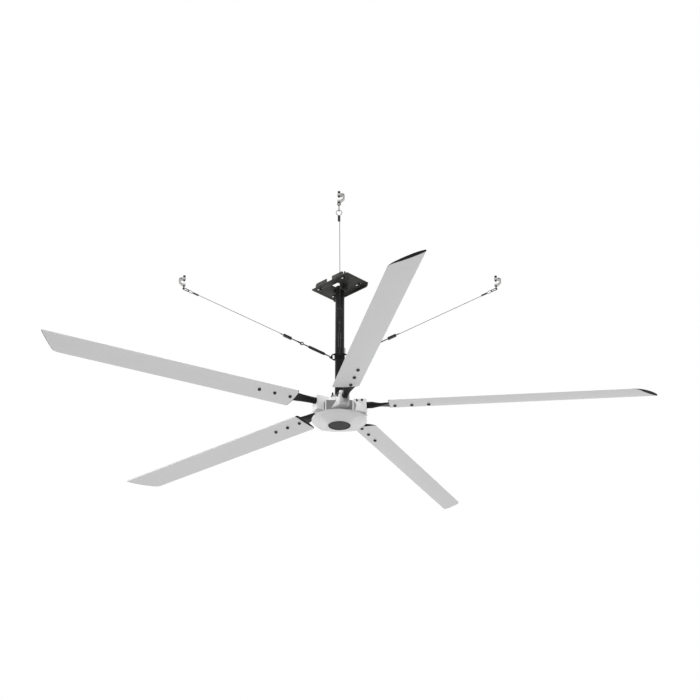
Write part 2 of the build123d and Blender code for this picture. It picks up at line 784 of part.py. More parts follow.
# Side view of the clamp: a sickle from the screw's boss round the back to the eye bolt's boss
with BuildSketch() as clamp_jaw_form:
    with BuildLine():
        Polyline(jaw_outline, close=True)
    make_face()
    fillet(vertices().group_by(Axis.X)[-1], clamp_inner_corner)
with BuildSketch() as clamp_side:
    with BuildLine():
        Polyline(clamp_outline, close=True)
    make_face()
    fillet(vertices().group_by(Axis.X)[-1].sort_by(Axis.Y)[0], clamp_knee)
    fillet(vertices().group_by(Axis.X)[-1].sort_by(Axis.Y)[-1], clamp_corner)
    add(clamp_jaw_form.sketch, mode=Mode.SUBTRACT)
with BuildSketch() as clamp_pocket:
    offset(clamp_side.sketch, amount=-clamp_rim)
    with Locations((clamp_nose + clamp_outer / 2, clamp_bottom + clamp_height / 2)):
        Rectangle(clamp_outer, clamp_height, mode=Mode.INTERSECT)

for number, azimuth in enumerate(guy_azimuths, start=1):
    turn = radians(azimuth)
    facing = radians(clamp_facings[number - 1])
    place = (clamp_reach * cos(turn), clamp_reach * sin(turn), 0)
    side_dir = Vector(sin(facing), -cos(facing), 0)
    side_plane = Plane(origin=place, x_dir=(cos(facing), sin(facing), 0), z_dir=side_dir)
    with BuildPart() as beam_clamp:
        with BuildSketch(side_plane.offset(-clamp_width / 2)):
            add(clamp_side.sketch)
        extrude(amount=clamp_width)
        for side_offset, inwards in ((-clamp_width / 2, 1), (clamp_width / 2, -1)):
            with BuildSketch(side_plane.offset(side_offset)):
                add(clamp_pocket.sketch)
            extrude(amount=inwards * pocket_depth, mode=Mode.SUBTRACT)
        foot = (place[0], place[1], clamp_bottom)
        with BuildSketch(Plane(origin=foot, x_dir=side_plane.x_dir, z_dir=(0, 0, 1))):
            Circle(clamp_nose)
            with Locations((clamp_outer / 2, 0)):
                Rectangle(clamp_outer, clamp_width)
        extrude(amount=clamp_height, mode=Mode.INTERSECT)
        with BuildSketch(Plane(origin=(place[0], place[1], jaw_roof), z_dir=(0, 0, 1))):
            Circle(screw_diameter / 2 + running_fit)
        extrude(amount=clamp_upper_arm, mode=Mode.SUBTRACT)
        with BuildSketch(Plane(origin=foot, z_dir=(0, 0, 1))):
            Circle(eyebolt_shank / 2 + thread_fit)
        extrude(amount=eyebolt_shank_length + joint_gap, mode=Mode.SUBTRACT)
    beam_clamp.part.label = f"beam_clamp_{number}"
    export_step(beam_clamp.part, f"parts/beam_clamp_{number}.step")
    with BuildPart() as clamp_screw:
        with BuildSketch(Plane(origin=(place[0], place[1], screw_tip), z_dir=(0, 0, 1))):
            Circle(screw_diameter / 2)
        extrude(amount=clamp_top + screw_standout - screw_tip)
        chamfer(faces().sort_by(Axis.Z)[0].edges(), screw_tip_chamfer)
        head_plane = Plane(
            origin=(place[0], place[1], clamp_top + screw_standout),
            x_dir=(cos(facing), sin(facing), 0),
            z_dir=(0, 0, 1),
        )
        with BuildSketch(head_plane):
            Rectangle(screw_head_across, screw_head_across)
        extrude(amount=screw_head_height)
    clamp_screw.part.label = f"clamp_screw_{number}"
    export_step(clamp_screw.part, f"parts/clamp_screw_{number}.step")

# Fixed hollow shaft of the motor, with its top flange
shaft_profile = (
    (shaft_bore_radius, shaft_flange_bottom + shaft_flange_thickness),
    (shaft_flange_radius, shaft_flange_bottom + shaft_flange_thickness),
    (shaft_flange_radius, shaft_flange_bottom),
    (shaft_neck_radius, shaft_flange_bottom),
    (shaft_neck_radius, upper_bearing_bottom),
    (shaft_body_radius, upper_bearing_bottom),
    (shaft_body_radius, shaft_body_bottom),
    (shaft_end_radius, shaft_body_bottom),
    (shaft_end_radius, shaft_end_bottom),
    (shaft_bore_radius, shaft_end_bottom),
)
with BuildPart() as stator_shaft:
    with BuildSketch(Plane.XZ):
        with BuildLine():
            Polyline([(radius, seat_level + height) for radius, height in shaft_profile], close=True)
        make_face()
    revolve(axis=Axis.Z)
    with BuildSketch(Plane.XY.offset(shaft_top)):
        with GridLocations(foot_bolt_spacing, foot_bolt_spacing, 2, 2):
            Circle(foot_bolt_diameter / 2 + thread_fit)
    extrude(amount=-(shaft_flange_thickness - foot_bolt_head + joint_gap), mode=Mode.SUBTRACT)
stator_shaft.part.label = "stator_shaft"
export_step(stator_shaft.part, "parts/stator_shaft.step")

# Fixed core with its teeth, and a coil on each tooth
stator_level = seat_level + stator_bottom
with BuildPart() as stator_core:
    with BuildSketch(Plane.XY.offset(stator_level)):
        Circle(stator_hub_radius)
        tooth_length = stator_radius - stator_hub_radius / 2
        with PolarLocations(stator_radius - tooth_length / 2, tooth_count):
            Rectangle(tooth_length, tooth_width)
        with PolarLocations(stator_radius - tooth_tip_depth / 2, tooth_count):
            Rectangle(tooth_tip_depth, tooth_tip_width)
        Circle(stator_radius, mode=Mode.INTERSECT)
        Circle(shaft_body_radius + joint_gap, mode=Mode.SUBTRACT)
    extrude(amount=stator_height)
stator_core.part.label = "stator_core"
export_step(stator_core.part, "parts/stator_core.step")

with BuildPart() as stator_coils:
    with BuildSketch(Plane.XY.offset(stator_level - coil_overhang)):
        with PolarLocations((coil_start + coil_end) / 2, tooth_count):
            Rectangle(coil_end - coil_start, coil_width)
    extrude(amount=stator_height + 2 * coil_overhang)
    with BuildSketch(Plane.XY.offset(stator_level - joint_gap)):
        with PolarLocations((coil_start + coil_end) / 2, tooth_count):
            Rectangle(coil_end - coil_start, tooth_width + 2 * joint_gap)
    extrude(amount=stator_height + 2 * joint_gap, mode=Mode.SUBTRACT)
stator_coils.part.label = "stator_coils"
export_step(stator_coils.part, "parts/stator_coils.step")

# Ball bearings: inner rings on the shaft, outer rings with their balls in the hub
upper_bearing_level = seat_level + upper_bearing_bottom
lower_bearing_level = seat_level + lower_bearing_bottom
bearings = (
    (upper_bearing_level, upper_bearing_height, shaft_neck_radius, upper_inner_ring, upper_outer_ring,
     upper_bearing_outer, upper_ball_circle, upper_ball_radius, upper_ball_count),
    (lower_bearing_level, lower_bearing_height, shaft_end_radius, lower_inner_ring, lower_outer_ring,
     lower_bearing_outer, lower_ball_circle, lower_ball_radius, lower_ball_count),
)
with BuildPart() as bearing_inner_rings:
    for level, height, bore, inner, outer, rim, circle, ball, count in bearings:
        with BuildSketch(Plane.XZ):
            with Locations(((bore + inner) / 2 + joint_gap / 2, level + height / 2)):
                Rectangle(inner - bore - joint_gap, height)
            with Locations((circle, level + height / 2)):
                Circle(ball + running_fit, mode=Mode.SUBTRACT)
        revolve(axis=Axis.Z)
bearing_inner_rings.part.label = "bearing_inner_rings"
export_step(bearing_inner_rings.part, "parts/bearing_inner_rings.step")

with BuildPart() as bearing_outer_rings:
    for level, height, bore, inner, outer, rim, circle, ball, count in bearings:
        with BuildSketch(Plane.XZ):
            with Locations(((outer + rim) / 2, level + height / 2)):
                Rectangle(rim - outer, height)
            with Locations((circle, level + height / 2)):
                Circle(ball + running_fit, mode=Mode.SUBTRACT)
        revolve(axis=Axis.Z)
        with Locations((0, 0, level + height / 2)):
            with PolarLocations(circle, count):
                Sphere(ball)
bearing_outer_rings.part.label = "bearing_outer_rings"
export_step(bearing_outer_rings.part, "parts/bearing_outer_rings.step")

with BuildPart() as shaft_nut:
    with BuildSketch(Plane.XY.offset(lower_bearing_level)):
        RegularPolygon(nut_radius, 6, major_radius=False)
        Circle(shaft_end_radius + thread_fit, mode=Mode.SUBTRACT)
    extrude(amount=-nut_height)
shaft_nut.part.label = "shaft_nut"
export_step(shaft_nut.part, "parts/shaft_nut.step")

# Hub casting: pentagon core with the motor cavity, base flange, bearing boss and five arm sockets
core_rotation = corner_azimuths[0]
socket_low = (
    (socket_front, -socket_trail_side),
    (socket_front, socket_lead_side),
    (socket_inner_floor, socket_lead_side),
    (socket_inner_floor, -socket_trail_floor),
)
socket_high = (
    (socket_front, -socket_trail_side),
    (socket_front, socket_lead_side),
    (socket_inner_top, socket_lead_side),
    (socket_inner_top, -socket_trail_side),
)
socket_shoulder = seat_level + socket_top - socket_band
arm_bolt_level = seat_level + arm_bolt_height
bearing_roof = upper_bearing_bottom + upper_bearing_height
with BuildPart() as hub_casting:
    with BuildSketch(Plane.XY.offset(core_floor_level)):
        RegularPolygon(core_apothem, blade_count, major_radius=False, rotation=core_rotation)
        fillet(vertices(), core_corner)
    extrude(amount=core_top - core_bottom)
    with BuildSketch(Plane.XY.offset(core_floor_level)):
        Circle(flange_radius)
    extrude(amount=flange_thickness)
    for azimuth in blade_azimuths:
        with BuildSketch(spoke_plane(azimuth, seat_level + socket_floor)):
            with BuildLine():
                Polyline(socket_low, close=True)
            make_face()
        with BuildSketch(spoke_plane(azimuth, socket_shoulder)):
            with BuildLine():
                Polyline(socket_high, close=True)
            make_face()
        loft(ruled=True)
        with BuildSketch(spoke_plane(azimuth, socket_shoulder)):
            with BuildLine():
                Polyline(socket_high, close=True)
            make_face()
        extrude(amount=socket_band)
    with BuildSketch(Plane.XY.offset(core_floor_level)):
        Circle(cavity_radius)
    extrude(amount=cavity_roof - core_bottom, mode=Mode.SUBTRACT)
    with BuildSketch(Plane.XY.offset(seat_level + cavity_roof)):
        Circle(bearing_boss_radius)
    extrude(amount=bearing_roof + bearing_lip_height - cavity_roof)
    with BuildSketch(Plane.XY.offset(seat_level + cavity_roof)):
        Circle(upper_bearing_outer + joint_gap / 2)
    extrude(amount=bearing_roof - cavity_roof, mode=Mode.SUBTRACT)
    with BuildSketch(Plane.XY.offset(seat_level + cavity_roof)):
        Circle(bearing_lip_radius)
    extrude(amount=bearing_roof + bearing_lip_height - cavity_roof, mode=Mode.SUBTRACT)
    for azimuth in blade_azimuths:
        with BuildSketch(radial_plane(azimuth, socket_bore_end, arm_level)):
            Circle(arm_diameter / 2 + joint_gap)
        extrude(amount=socket_front - socket_bore_end, mode=Mode.SUBTRACT)
        for radius in arm_bolt_radii:
            with BuildSketch(trailing_plane(azimuth, radius, socket_trail_side, arm_bolt_level)):
                Circle(arm_bolt_diameter / 2 + thread_fit)
            extrude(amount=-arm_bolt_depth - joint_gap, mode=Mode.SUBTRACT)
    for azimuth in corner_azimuths:
        with BuildSketch(spoke_plane(azimuth, core_floor_level)):
            with Locations((plate_screw_radius, 0)):
                Circle(cover_screw_diameter / 2 + thread_fit)
        extrude(amount=plate_screw_bite + joint_gap, mode=Mode.SUBTRACT)
        with BuildSketch(spoke_plane(azimuth, core_floor_level)):
            with Locations((dome_screw_radius, 0)):
                Circle(cover_screw_diameter / 2 + thread_fit)
        extrude(amount=flange_thickness, mode=Mode.SUBTRACT)
        with BuildSketch(spoke_plane(azimuth, seat_level + core_top)):
            with Locations((top_screw_radius, 0)):
                Circle(cover_screw_diameter / 2 + thread_fit)
        extrude(amount=-(plate_screw_bite + joint_gap), mode=Mode.SUBTRACT)
hub_casting.part.label = "hub_casting"
export_step(hub_casting.part, "parts/hub_casting.step")

# Top cover: a cone over the bearing boss
cover_base = seat_level + core_top
cover_roof = seat_level + top_cover_height
with BuildPart() as top_cover:
    with BuildSketch(Plane.XZ):
        with BuildLine():
            Polyline(
                (top_cover_foot_radius - cover_wall, cover_base),
                (top_cover_flange_radius, cover_base),
                (top_cover_flange_radius, cover_base + cover_wall),
                (top_cover_foot_radius, cover_base + cover_wall),
                (top_cover_top_radius, cover_roof),
                (top_cover_bore, cover_roof),
                (top_cover_bore, cover_roof - cover_wall),
                (top_cover_top_radius - cover_wall, cover_roof - cover_wall),
                close=True,
            )
        make_face()
    revolve(axis=Axis.Z)
    for azimuth in corner_azimuths:
        with BuildSketch(spoke_plane(azimuth, cover_base)):
            with Locations((top_screw_radius, 0)):
                Circle(cover_screw_diameter / 2 + bolt_clearance)
        extrude(amount=cover_wall, mode=Mode.SUBTRACT)
top_cover.part.label = "top_cover"
export_step(top_cover.part, "parts/top_cover.step")

# Bottom cover: a shallow four-sided dome inside a round rim, hollow, with a rim for the badge
dome_floor_level = core_floor_level - dome_depth
rim_cone_radius = dome_radius - dome_depth / dome_rim_slope
dome_half = dome_radius + overrun
with BuildPart() as bottom_cover:
    with BuildSketch(Plane.XY.offset(core_floor_level)):
        Circle(dome_radius)
    with BuildSketch(Plane.XY.offset(dome_floor_level)):
        Circle(rim_cone_radius)
    loft()
    with BuildSketch(Plane.XY.offset(core_floor_level)):
        Rectangle(2 * dome_half, 2 * dome_half, rotation=dome_azimuth)
    with BuildSketch(Plane.XY.offset(dome_floor_level)):
        Rectangle(2 * dome_flat, 2 * dome_flat, rotation=dome_azimuth)
    loft(ruled=True, mode=Mode.INTERSECT)
    with BuildSketch(Plane.XY.offset(core_floor_level)):
        Circle(dome_radius)
    extrude(amount=flange_thickness)
    with BuildSketch(Plane.XY.offset(core_floor_level)):
        Circle(flange_radius + joint_gap)
    extrude(amount=flange_thickness, mode=Mode.SUBTRACT)
    with BuildPart(mode=Mode.PRIVATE) as dome_inside:
        with BuildSketch(Plane.XY.offset(core_floor_level)):
            Rectangle(2 * dome_inner_half, 2 * dome_inner_half, rotation=dome_azimuth)
        with BuildSketch(Plane.XY.offset(dome_floor_level + cover_wall)):
            Rectangle(2 * dome_inner_flat, 2 * dome_inner_flat, rotation=dome_azimuth)
        loft(ruled=True)
        with BuildSketch(Plane.XY.offset(dome_floor_level)):
            Circle(dome_inner_radius)
        extrude(amount=dome_depth, mode=Mode.INTERSECT)
    add(dome_inside.part, mode=Mode.SUBTRACT)
    with BuildSketch(Plane.XY.offset(dome_floor_level)):
        Circle(badge_rim_radius)
        Circle(badge_radius + badge_gap, mode=Mode.SUBTRACT)
    extrude(amount=-badge_rim_height)
    for azimuth in corner_azimuths:
        with BuildSketch(spoke_plane(azimuth, core_floor_level)):
            with Locations((dome_screw_radius, 0)):
                Circle(cover_screw_diameter / 2 + thread_fit)
        extrude(amount=-(cover_screw_bite + joint_gap), mode=Mode.SUBTRACT)
bottom_cover.part.label = "bottom_cover"
export_step(bottom_cover.part, "parts/bottom_cover.step")

with BuildPart() as badge_plate:
    with BuildSketch(Plane.XY.offset(dome_floor_level)):
        Circle(badge_radius)
    extrude(amount=-badge_thickness)
badge_plate.part.label = "badge_plate"
export_step(badge_plate.part, "parts/badge_plate.step")

# Screws of top cover, bottom cover and end plate
end_plate_level = core_floor_level - end_plate_thickness
with BuildPart() as cover_screws:
    for azimuth in corner_azimuths:
        for radius, seat, upwards, length in (
            (top_screw_radius, cover_base + cover_wall, 1, cover_wall + plate_screw_bite),
            (dome_screw_radius, core_floor_level + flange_thickness, 1, flange_thickness + cover_screw_bite),
            (plate_screw_radius, end_plate_level, -1, end_plate_thickness + plate_screw_bite),
        ):
            with BuildSketch(spoke_plane(azimuth, seat)):
                with Locations((radius, 0)):
                    Circle(cover_screw_head / 2)
            extrude(amount=upwards * cover_screw_head_height)
            with BuildSketch(spoke_plane(azimuth, seat)):
                with Locations((radius, 0)):
                    Circle(cover_screw_diameter / 2)
            extrude(amount=-upwards * length)
cover_screws.part.label = "cover_screws"
export_step(cover_screws.part, "parts/cover_screws.step")

# End plate with the lower bearing's seat
lower_bearing_roof = lower_bearing_level + lower_bearing_height
with BuildPart() as motor_end_plate:
    with BuildSketch(Plane.XY.offset(end_plate_level)):
        Circle(end_plate_radius)
    extrude(amount=end_plate_thickness)
    with BuildSketch(Plane.XY.offset(lower_bearing_level)):
        Circle(end_boss_radius)
    extrude(amount=lower_bearing_height + end_boss_lip)
    with BuildSketch(Plane.XY.offset(lower_bearing_level)):
        Circle(lower_bearing_outer + joint_gap / 2)
    extrude(amount=lower_bearing_height, mode=Mode.SUBTRACT)
    with BuildSketch(Plane.XY.offset(lower_bearing_level)):
        Circle(end_boss_lip_radius)
    extrude(amount=lower_bearing_height + end_boss_lip, mode=Mode.SUBTRACT)
    for azimuth in corner_azimuths:
        with BuildSketch(spoke_plane(azimuth, end_plate_level)):
            with Locations((plate_screw_radius, 0)):
                Circle(cover_screw_diameter / 2 + bolt_clearance)
        extrude(amount=end_plate_thickness, mode=Mode.SUBTRACT)
motor_end_plate.part.label = "motor_end_plate"
export_step(motor_end_plate.part, "parts/motor_end_plate.step")

# Iron ring of the rotor with its magnets
rotor_ring_level = seat_level + rotor_ring_bottom
with BuildPart() as rotor_ring:
    with BuildSketch(Plane.XY.offset(rotor_ring_level)):
        Circle(cavity_radius - joint_gap)
        Circle(magnet_outer + joint_gap, mode=Mode.SUBTRACT)
    extrude(amount=rotor_ring_height)
rotor_ring.part.label = "rotor_ring"
export_step(rotor_ring.part, "parts/rotor_ring.step")

with BuildPart() as rotor_magnets:
    with BuildSketch(Plane.XY.offset(rotor_ring_level + (rotor_ring_height - magnet_height) / 2)):
        Circle(magnet_outer)
        Circle(magnet_inner, mode=Mode.SUBTRACT)
        with PolarLocations((magnet_inner + magnet_outer) / 2, magnet_count):
            Rectangle(magnet_outer - magnet_inner + 2 * overrun, magnet_slit, mode=Mode.SUBTRACT)
    extrude(amount=magnet_height)
rotor_magnets.part.label = "rotor_magnets"
export_step(rotor_magnets.part, "parts/rotor_magnets.step")

# Blade section plane: x from nose to tail, y up from the seat, at a radius on the blade's own azimuth
pitch = radians(blade_pitch)


def section_plane(radius):
    """Cross plane of a blade that points along +X, with x to the tail, y up, facing the hub."""
    return Plane(origin=(radius, 0, seat_level), x_dir=(0, -cos(pitch), -sin(pitch)), z_dir=(-1, 0, 0))


def section_point(share):
    """Place on the section for a share of chord and a share of thickness."""
    return ((share[0] - seat_share) * chord, share[1] * blade_thickness)


def seat_plane(radius):
    """Plane of a blade bolt's seat, facing up through the blade."""
    return Plane(origin=(radius, 0, seat_level), x_dir=(1, 0, 0), z_dir=(0, -sin(pitch), cos(pitch)))


lead_chord = seat_share * chord * cos(pitch) + nose_share * blade_thickness * sin(pitch)
trail_chord = (1 - seat_share) * chord * cos(pitch)
lead_edge = lead_chord + overrun
trail_edge = trail_chord + overrun
tip_slope = (rotor_radius - tip_trail_radius) / (lead_chord + trail_chord)
plan_lead_tip = rotor_radius + tip_slope * (lead_edge - lead_chord)
plan_trail_tip = tip_trail_radius - tip_slope * (trail_edge - trail_chord)
plan_floor = seat_level - chord
plan_height = 2 * chord
arm_cell_centre = arm_cell_floor + arm_cell_height / 2


def plan_outline(root, shift):
    """Plan of the blade between a root radius and the tip drawn in by shift; the caller makes the face."""
    Polyline(
        (root, lead_edge),
        (plan_lead_tip - shift, lead_edge),
        (plan_trail_tip - shift, -trail_edge),
        (root, -trail_edge),
        close=True,
    )


with BuildPart() as blade_envelope:
    with BuildSketch(section_plane(rotor_radius + overrun)):
        with BuildLine():
            upper_points = [section_point(share) for share in upper_shares]
            lower_points = [section_point(share) for share in lower_shares]
            nose = section_point((0, nose_share))
            ThreePointArc(lower_points[0], nose, upper_points[0])
            Spline(upper_points)
            Line(upper_points[-1], lower_points[-1])
            Spline(lower_points)
        make_face()
    extrude(amount=rotor_radius + overrun - blade_root_radius)
    with BuildSketch(Plane.XY.offset(plan_floor)):
        with BuildLine():
            plan_outline(blade_root_radius, 0)
        make_face()
        fillet(vertices().group_by(Axis.Y)[0].sort_by(Axis.X)[0], root_trail_corner)
        fillet(vertices().group_by(Axis.Y)[-1].sort_by(Axis.X)[0], root_lead_corner)
        fillet(vertices().group_by(Axis.Y)[-1].sort_by(Axis.X)[-1], tip_lead_round)
        fillet(vertices().group_by(Axis.Y)[0].sort_by(Axis.X)[-1], tip_round)
    extrude(amount=plan_height, mode=Mode.INTERSECT)

with BuildPart() as cap_cutter:
    with BuildSketch(Plane.XY.offset(plan_floor)):
        with BuildLine():
            plan_outline(blade_root_radius + cap_thickness, cap_thickness)
        make_face()
        fillet(vertices().group_by(Axis.Y)[0].sort_by(Axis.X)[0], root_trail_corner)
        fillet(vertices().group_by(Axis.Y)[-1].sort_by(Axis.X)[0], root_lead_corner)
        fillet(vertices().group_by(Axis.Y)[-1].sort_by(Axis.X)[-1], tip_lead_round)
        fillet(vertices().group_by(Axis.Y)[0].sort_by(Axis.X)[-1], tip_round)
    extrude(amount=plan_height)

with BuildPart() as blade_form:
    add(blade_envelope.part)
    add(cap_cutter.part, mode=Mode.INTERSECT)
    with BuildSketch(section_plane(rotor_radius + overrun)):
        with Locations((0, arm_cell_centre)):
            Rectangle(arm_cell_width, arm_cell_height)
        with BuildLine():
            Polyline([section_point(share) for share in nose_cell_shares], close=True)
        make_face()
        with BuildLine():
            Polyline([section_point(share) for share in tail_cell_shares], close=True)
        make_face()
    extrude(amount=rotor_radius + overrun - blade_root_radius, mode=Mode.SUBTRACT)
    for radius in blade_bolt_radii:
        with BuildSketch(seat_plane(radius)):
            Circle(blade_bolt_diameter / 2 + bolt_clearance)
        extrude(amount=arm_cell_floor + overrun, both=True, mode=Mode.SUBTRACT)

with BuildPart() as cap_form:
    add(blade_envelope.part)
    add(cap_cutter.part, mode=Mode.SUBTRACT)
    with BuildSketch(section_plane(blade_bolt_radii[0])):
        with Locations((0, arm_cell_centre)):
            Rectangle(arm_cell_width, arm_cell_height)
    extrude(amount=blade_bolt_radii[0] - blade_root_radius + overrun, mode=Mode.SUBTRACT)

# Blade arm: round in the hub, widening to a flat tang inside the blade
tang_centre = arm_cell_floor + joint_gap + tang_thickness / 2
shank_start = socket_bore_end + arm_inset
with BuildPart() as arm_form:
    shank_plane = Plane(origin=(arm_shank_end, 0, arm_level), x_dir=(0, -1, 0), z_dir=(-1, 0, 0))
    with BuildSketch(shank_plane) as shank_face:
        RectangleRounded(arm_diameter, arm_diameter, arm_diameter / 2 - joint_gap)
    extrude(amount=arm_shank_end - shank_start)
    with BuildSketch(section_plane(arm_tang_start)) as tang_face:
        with Locations((0, tang_centre)):
            RectangleRounded(tang_width, tang_thickness, tang_edge)
    extrude(amount=arm_tang_start - arm_tang_end)
    loft(sections=[shank_face.sketch, tang_face.sketch], ruled=True)
    for radius in blade_bolt_radii:
        with BuildSketch(seat_plane(radius)):
            Circle(blade_bolt_diameter / 2 + thread_fit)
        extrude(amount=blade_thickness, mode=Mode.SUBTRACT)
    for radius in arm_bolt_radii:
        with BuildSketch(trailing_plane(0, radius, 0, arm_bolt_level)):
            Circle(arm_bolt_diameter / 2 + bolt_clearance)
        extrude(amount=arm_diameter, both=True, mode=Mode.SUBTRACT)

for number, azimuth in enumerate(blade_azimuths, start=1):
    with BuildPart() as blade_arm:
        add(arm_form.part.rotate(Axis.Z, azimuth))
    blade_arm.part.label = f"blade_arm_{number}"
    export_step(blade_arm.part, f"parts/blade_arm_{number}.step")
    with BuildPart() as blade:
        add(blade_form.part.rotate(Axis.Z, azimuth))
    blade.part.label = f"blade_{number}"
    export_step(blade.part, f"parts/blade_{number}.step")

with BuildPart() as blade_end_caps:
    for azimuth in blade_azimuths:
        add(cap_form.part.rotate(Axis.Z, azimuth))
blade_end_caps.part.label = "blade_end_caps"
export_step(blade_end_caps.part, "parts/blade_end_caps.step")

# Two cross bolts in each socket that key into grooves across the top of the arm
with BuildPart() as arm_bolts:
    for azimuth in blade_azimuths:
        for radius in arm_bolt_radii:
            seat = trailing_plane(azimuth, radius, socket_trail_side, arm_bolt_level)
            with BuildSketch(seat):
                Circle(boss_washer_diameter / 2)
            extrude(amount=boss_washer_thickness)
            with BuildSketch(seat.offset(boss_washer_thickness)):
                RegularPolygon(arm_bolt_head / 2, 6, major_radius=False)
            extrude(amount=arm_bolt_head_height)
            with BuildSketch(seat):
                Circle(arm_bolt_diameter / 2)
            extrude(amount=-arm_bolt_depth)
arm_bolts.part.label = "arm_bolts"
export_step(arm_bolts.part, "parts/arm_bolts.step")

# Three bolts under each blade, up into the arm's tang
with BuildPart() as bolt_row_form:
    for radius in blade_bolt_radii:
        with BuildSketch(seat_plane(radius).offset(-joint_gap)):
            Circle(blade_washer_diameter / 2)
        extrude(amount=-blade_washer_thickness)
        with BuildSketch(seat_plane(radius).offset(-joint_gap - blade_washer_thickness)):
            RegularPolygon(blade_bolt_head / 2, 6, major_radius=False)
        extrude(amount=-blade_bolt_head_height)
        with BuildSketch(seat_plane(radius).offset(-joint_gap)):
            Circle(blade_bolt_diameter / 2)
        extrude(amount=arm_cell_floor + tang_thickness + joint_gap)
with BuildPart() as blade_bolts:
    for azimuth in blade_azimuths:
        add(bolt_row_form.part.rotate(Axis.Z, azimuth))
blade_bolts.part.label = "blade_bolts"
export_step(blade_bolts.part, "parts/blade_bolts.step")
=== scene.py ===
"""Studio scene of a guyed high volume low speed ceiling fan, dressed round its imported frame.

Every length is in metres, in the frame of the model: the origin is the centre of the ceiling plate's top
face, +Z is up and +X runs along the plate's long side.
"""
from __future__ import annotations

import json
import logging
import math
from collections.abc import Iterable, Sequence
from dataclasses import dataclass, field
from enum import Enum

import bmesh
import bpy
from mathutils import Matrix, Vector

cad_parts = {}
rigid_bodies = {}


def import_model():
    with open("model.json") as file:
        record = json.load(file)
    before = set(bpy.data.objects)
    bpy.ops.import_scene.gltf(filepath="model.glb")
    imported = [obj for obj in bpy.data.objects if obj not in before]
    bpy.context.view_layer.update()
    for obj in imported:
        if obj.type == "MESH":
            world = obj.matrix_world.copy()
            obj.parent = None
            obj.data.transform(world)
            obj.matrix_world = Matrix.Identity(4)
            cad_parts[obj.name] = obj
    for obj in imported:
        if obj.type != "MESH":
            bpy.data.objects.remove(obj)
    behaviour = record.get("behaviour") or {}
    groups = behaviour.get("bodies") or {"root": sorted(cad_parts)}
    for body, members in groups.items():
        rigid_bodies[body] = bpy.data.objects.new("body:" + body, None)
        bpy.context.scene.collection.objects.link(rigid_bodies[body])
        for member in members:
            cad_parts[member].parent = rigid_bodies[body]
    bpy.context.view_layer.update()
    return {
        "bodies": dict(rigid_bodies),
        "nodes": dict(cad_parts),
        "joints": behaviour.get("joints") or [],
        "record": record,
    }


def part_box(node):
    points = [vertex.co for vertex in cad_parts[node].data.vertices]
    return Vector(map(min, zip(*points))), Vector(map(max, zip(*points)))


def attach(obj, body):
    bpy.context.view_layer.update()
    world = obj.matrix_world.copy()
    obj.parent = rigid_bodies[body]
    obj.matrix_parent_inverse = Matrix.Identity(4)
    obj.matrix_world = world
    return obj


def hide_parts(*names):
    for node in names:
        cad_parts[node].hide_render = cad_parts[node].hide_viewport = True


LOG = logging.getLogger("fan")
MM = 0.001
MERGE_DISTANCE = 0.00001
UP = Vector((0, 0, 1))
DUST_COLOUR = (0.42, 0.4, 0.37)
COAT_ROUGHNESS = 0.15
GRAIN_HEIGHT = 0.2 * MM
DARK_FITTINGS = ("clamp_eyebolts", "oval_links", "wire_ferrules", "wire_thimbles")
BLADE_AZIMUTHS = [-33.34 + 72.0 * number for number in range(5)]
EDGE_ROUNDS = {
    "hub_casting": 1.6 * MM,
    "ceiling_plate": 0.6 * MM,
    "hanger_brackets": 0.8 * MM,
    "beam_clamp": 1.2 * MM,
    "foot_flange": 1.0 * MM,
    "turnbuckle_body": 0.5 * MM,
    "bottom_cover": 0.7 * MM,
    "top_cover": 0.7 * MM,
    "ring_screws": 0.6 * MM,
    "cover_screws": 0.6 * MM,
    "shaft_nut": 0.5 * MM,
    "down_tube": 0.5 * MM,
    "wire_ferrules": 0.6 * MM,
}

Colour = tuple[float, float, float]
Profile = Sequence[tuple[float, float]]


class Body(Enum):
    """Names of the moving bodies that a piece can ride on."""

    FRAME = "frame"
    ROTOR = "rotor"


class Slot(Enum):
    """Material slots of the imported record."""

    PLATE = "plate_paint"
    BLACK = "black_paint"
    FASTENER = "black_fasteners"
    ZINC = "zinc_steel"
    ROPE = "wire_rope"
    MACHINED = "machined_steel"
    CORE = "core_iron"
    COPPER = "coil_copper"
    HUB = "hub_paint"
    COVER = "cover_plastic"
    BADGE = "badge_grey"
    BLADE = "blade_aluminium"
    CAP = "cap_plastic"


class Tone(Enum):
    """Finishes that the scene adds to those of the record's slots."""

    BEZEL = "dark_bezel"
    # Painted shade on the five core panels, not a paint of their own.
    PANEL = "silver_grey_panel"
    FITTING = "darkened_fittings"


def grey(level: float) -> Colour:
    """Return a neutral colour of one linear level."""
    return (level, level, level)


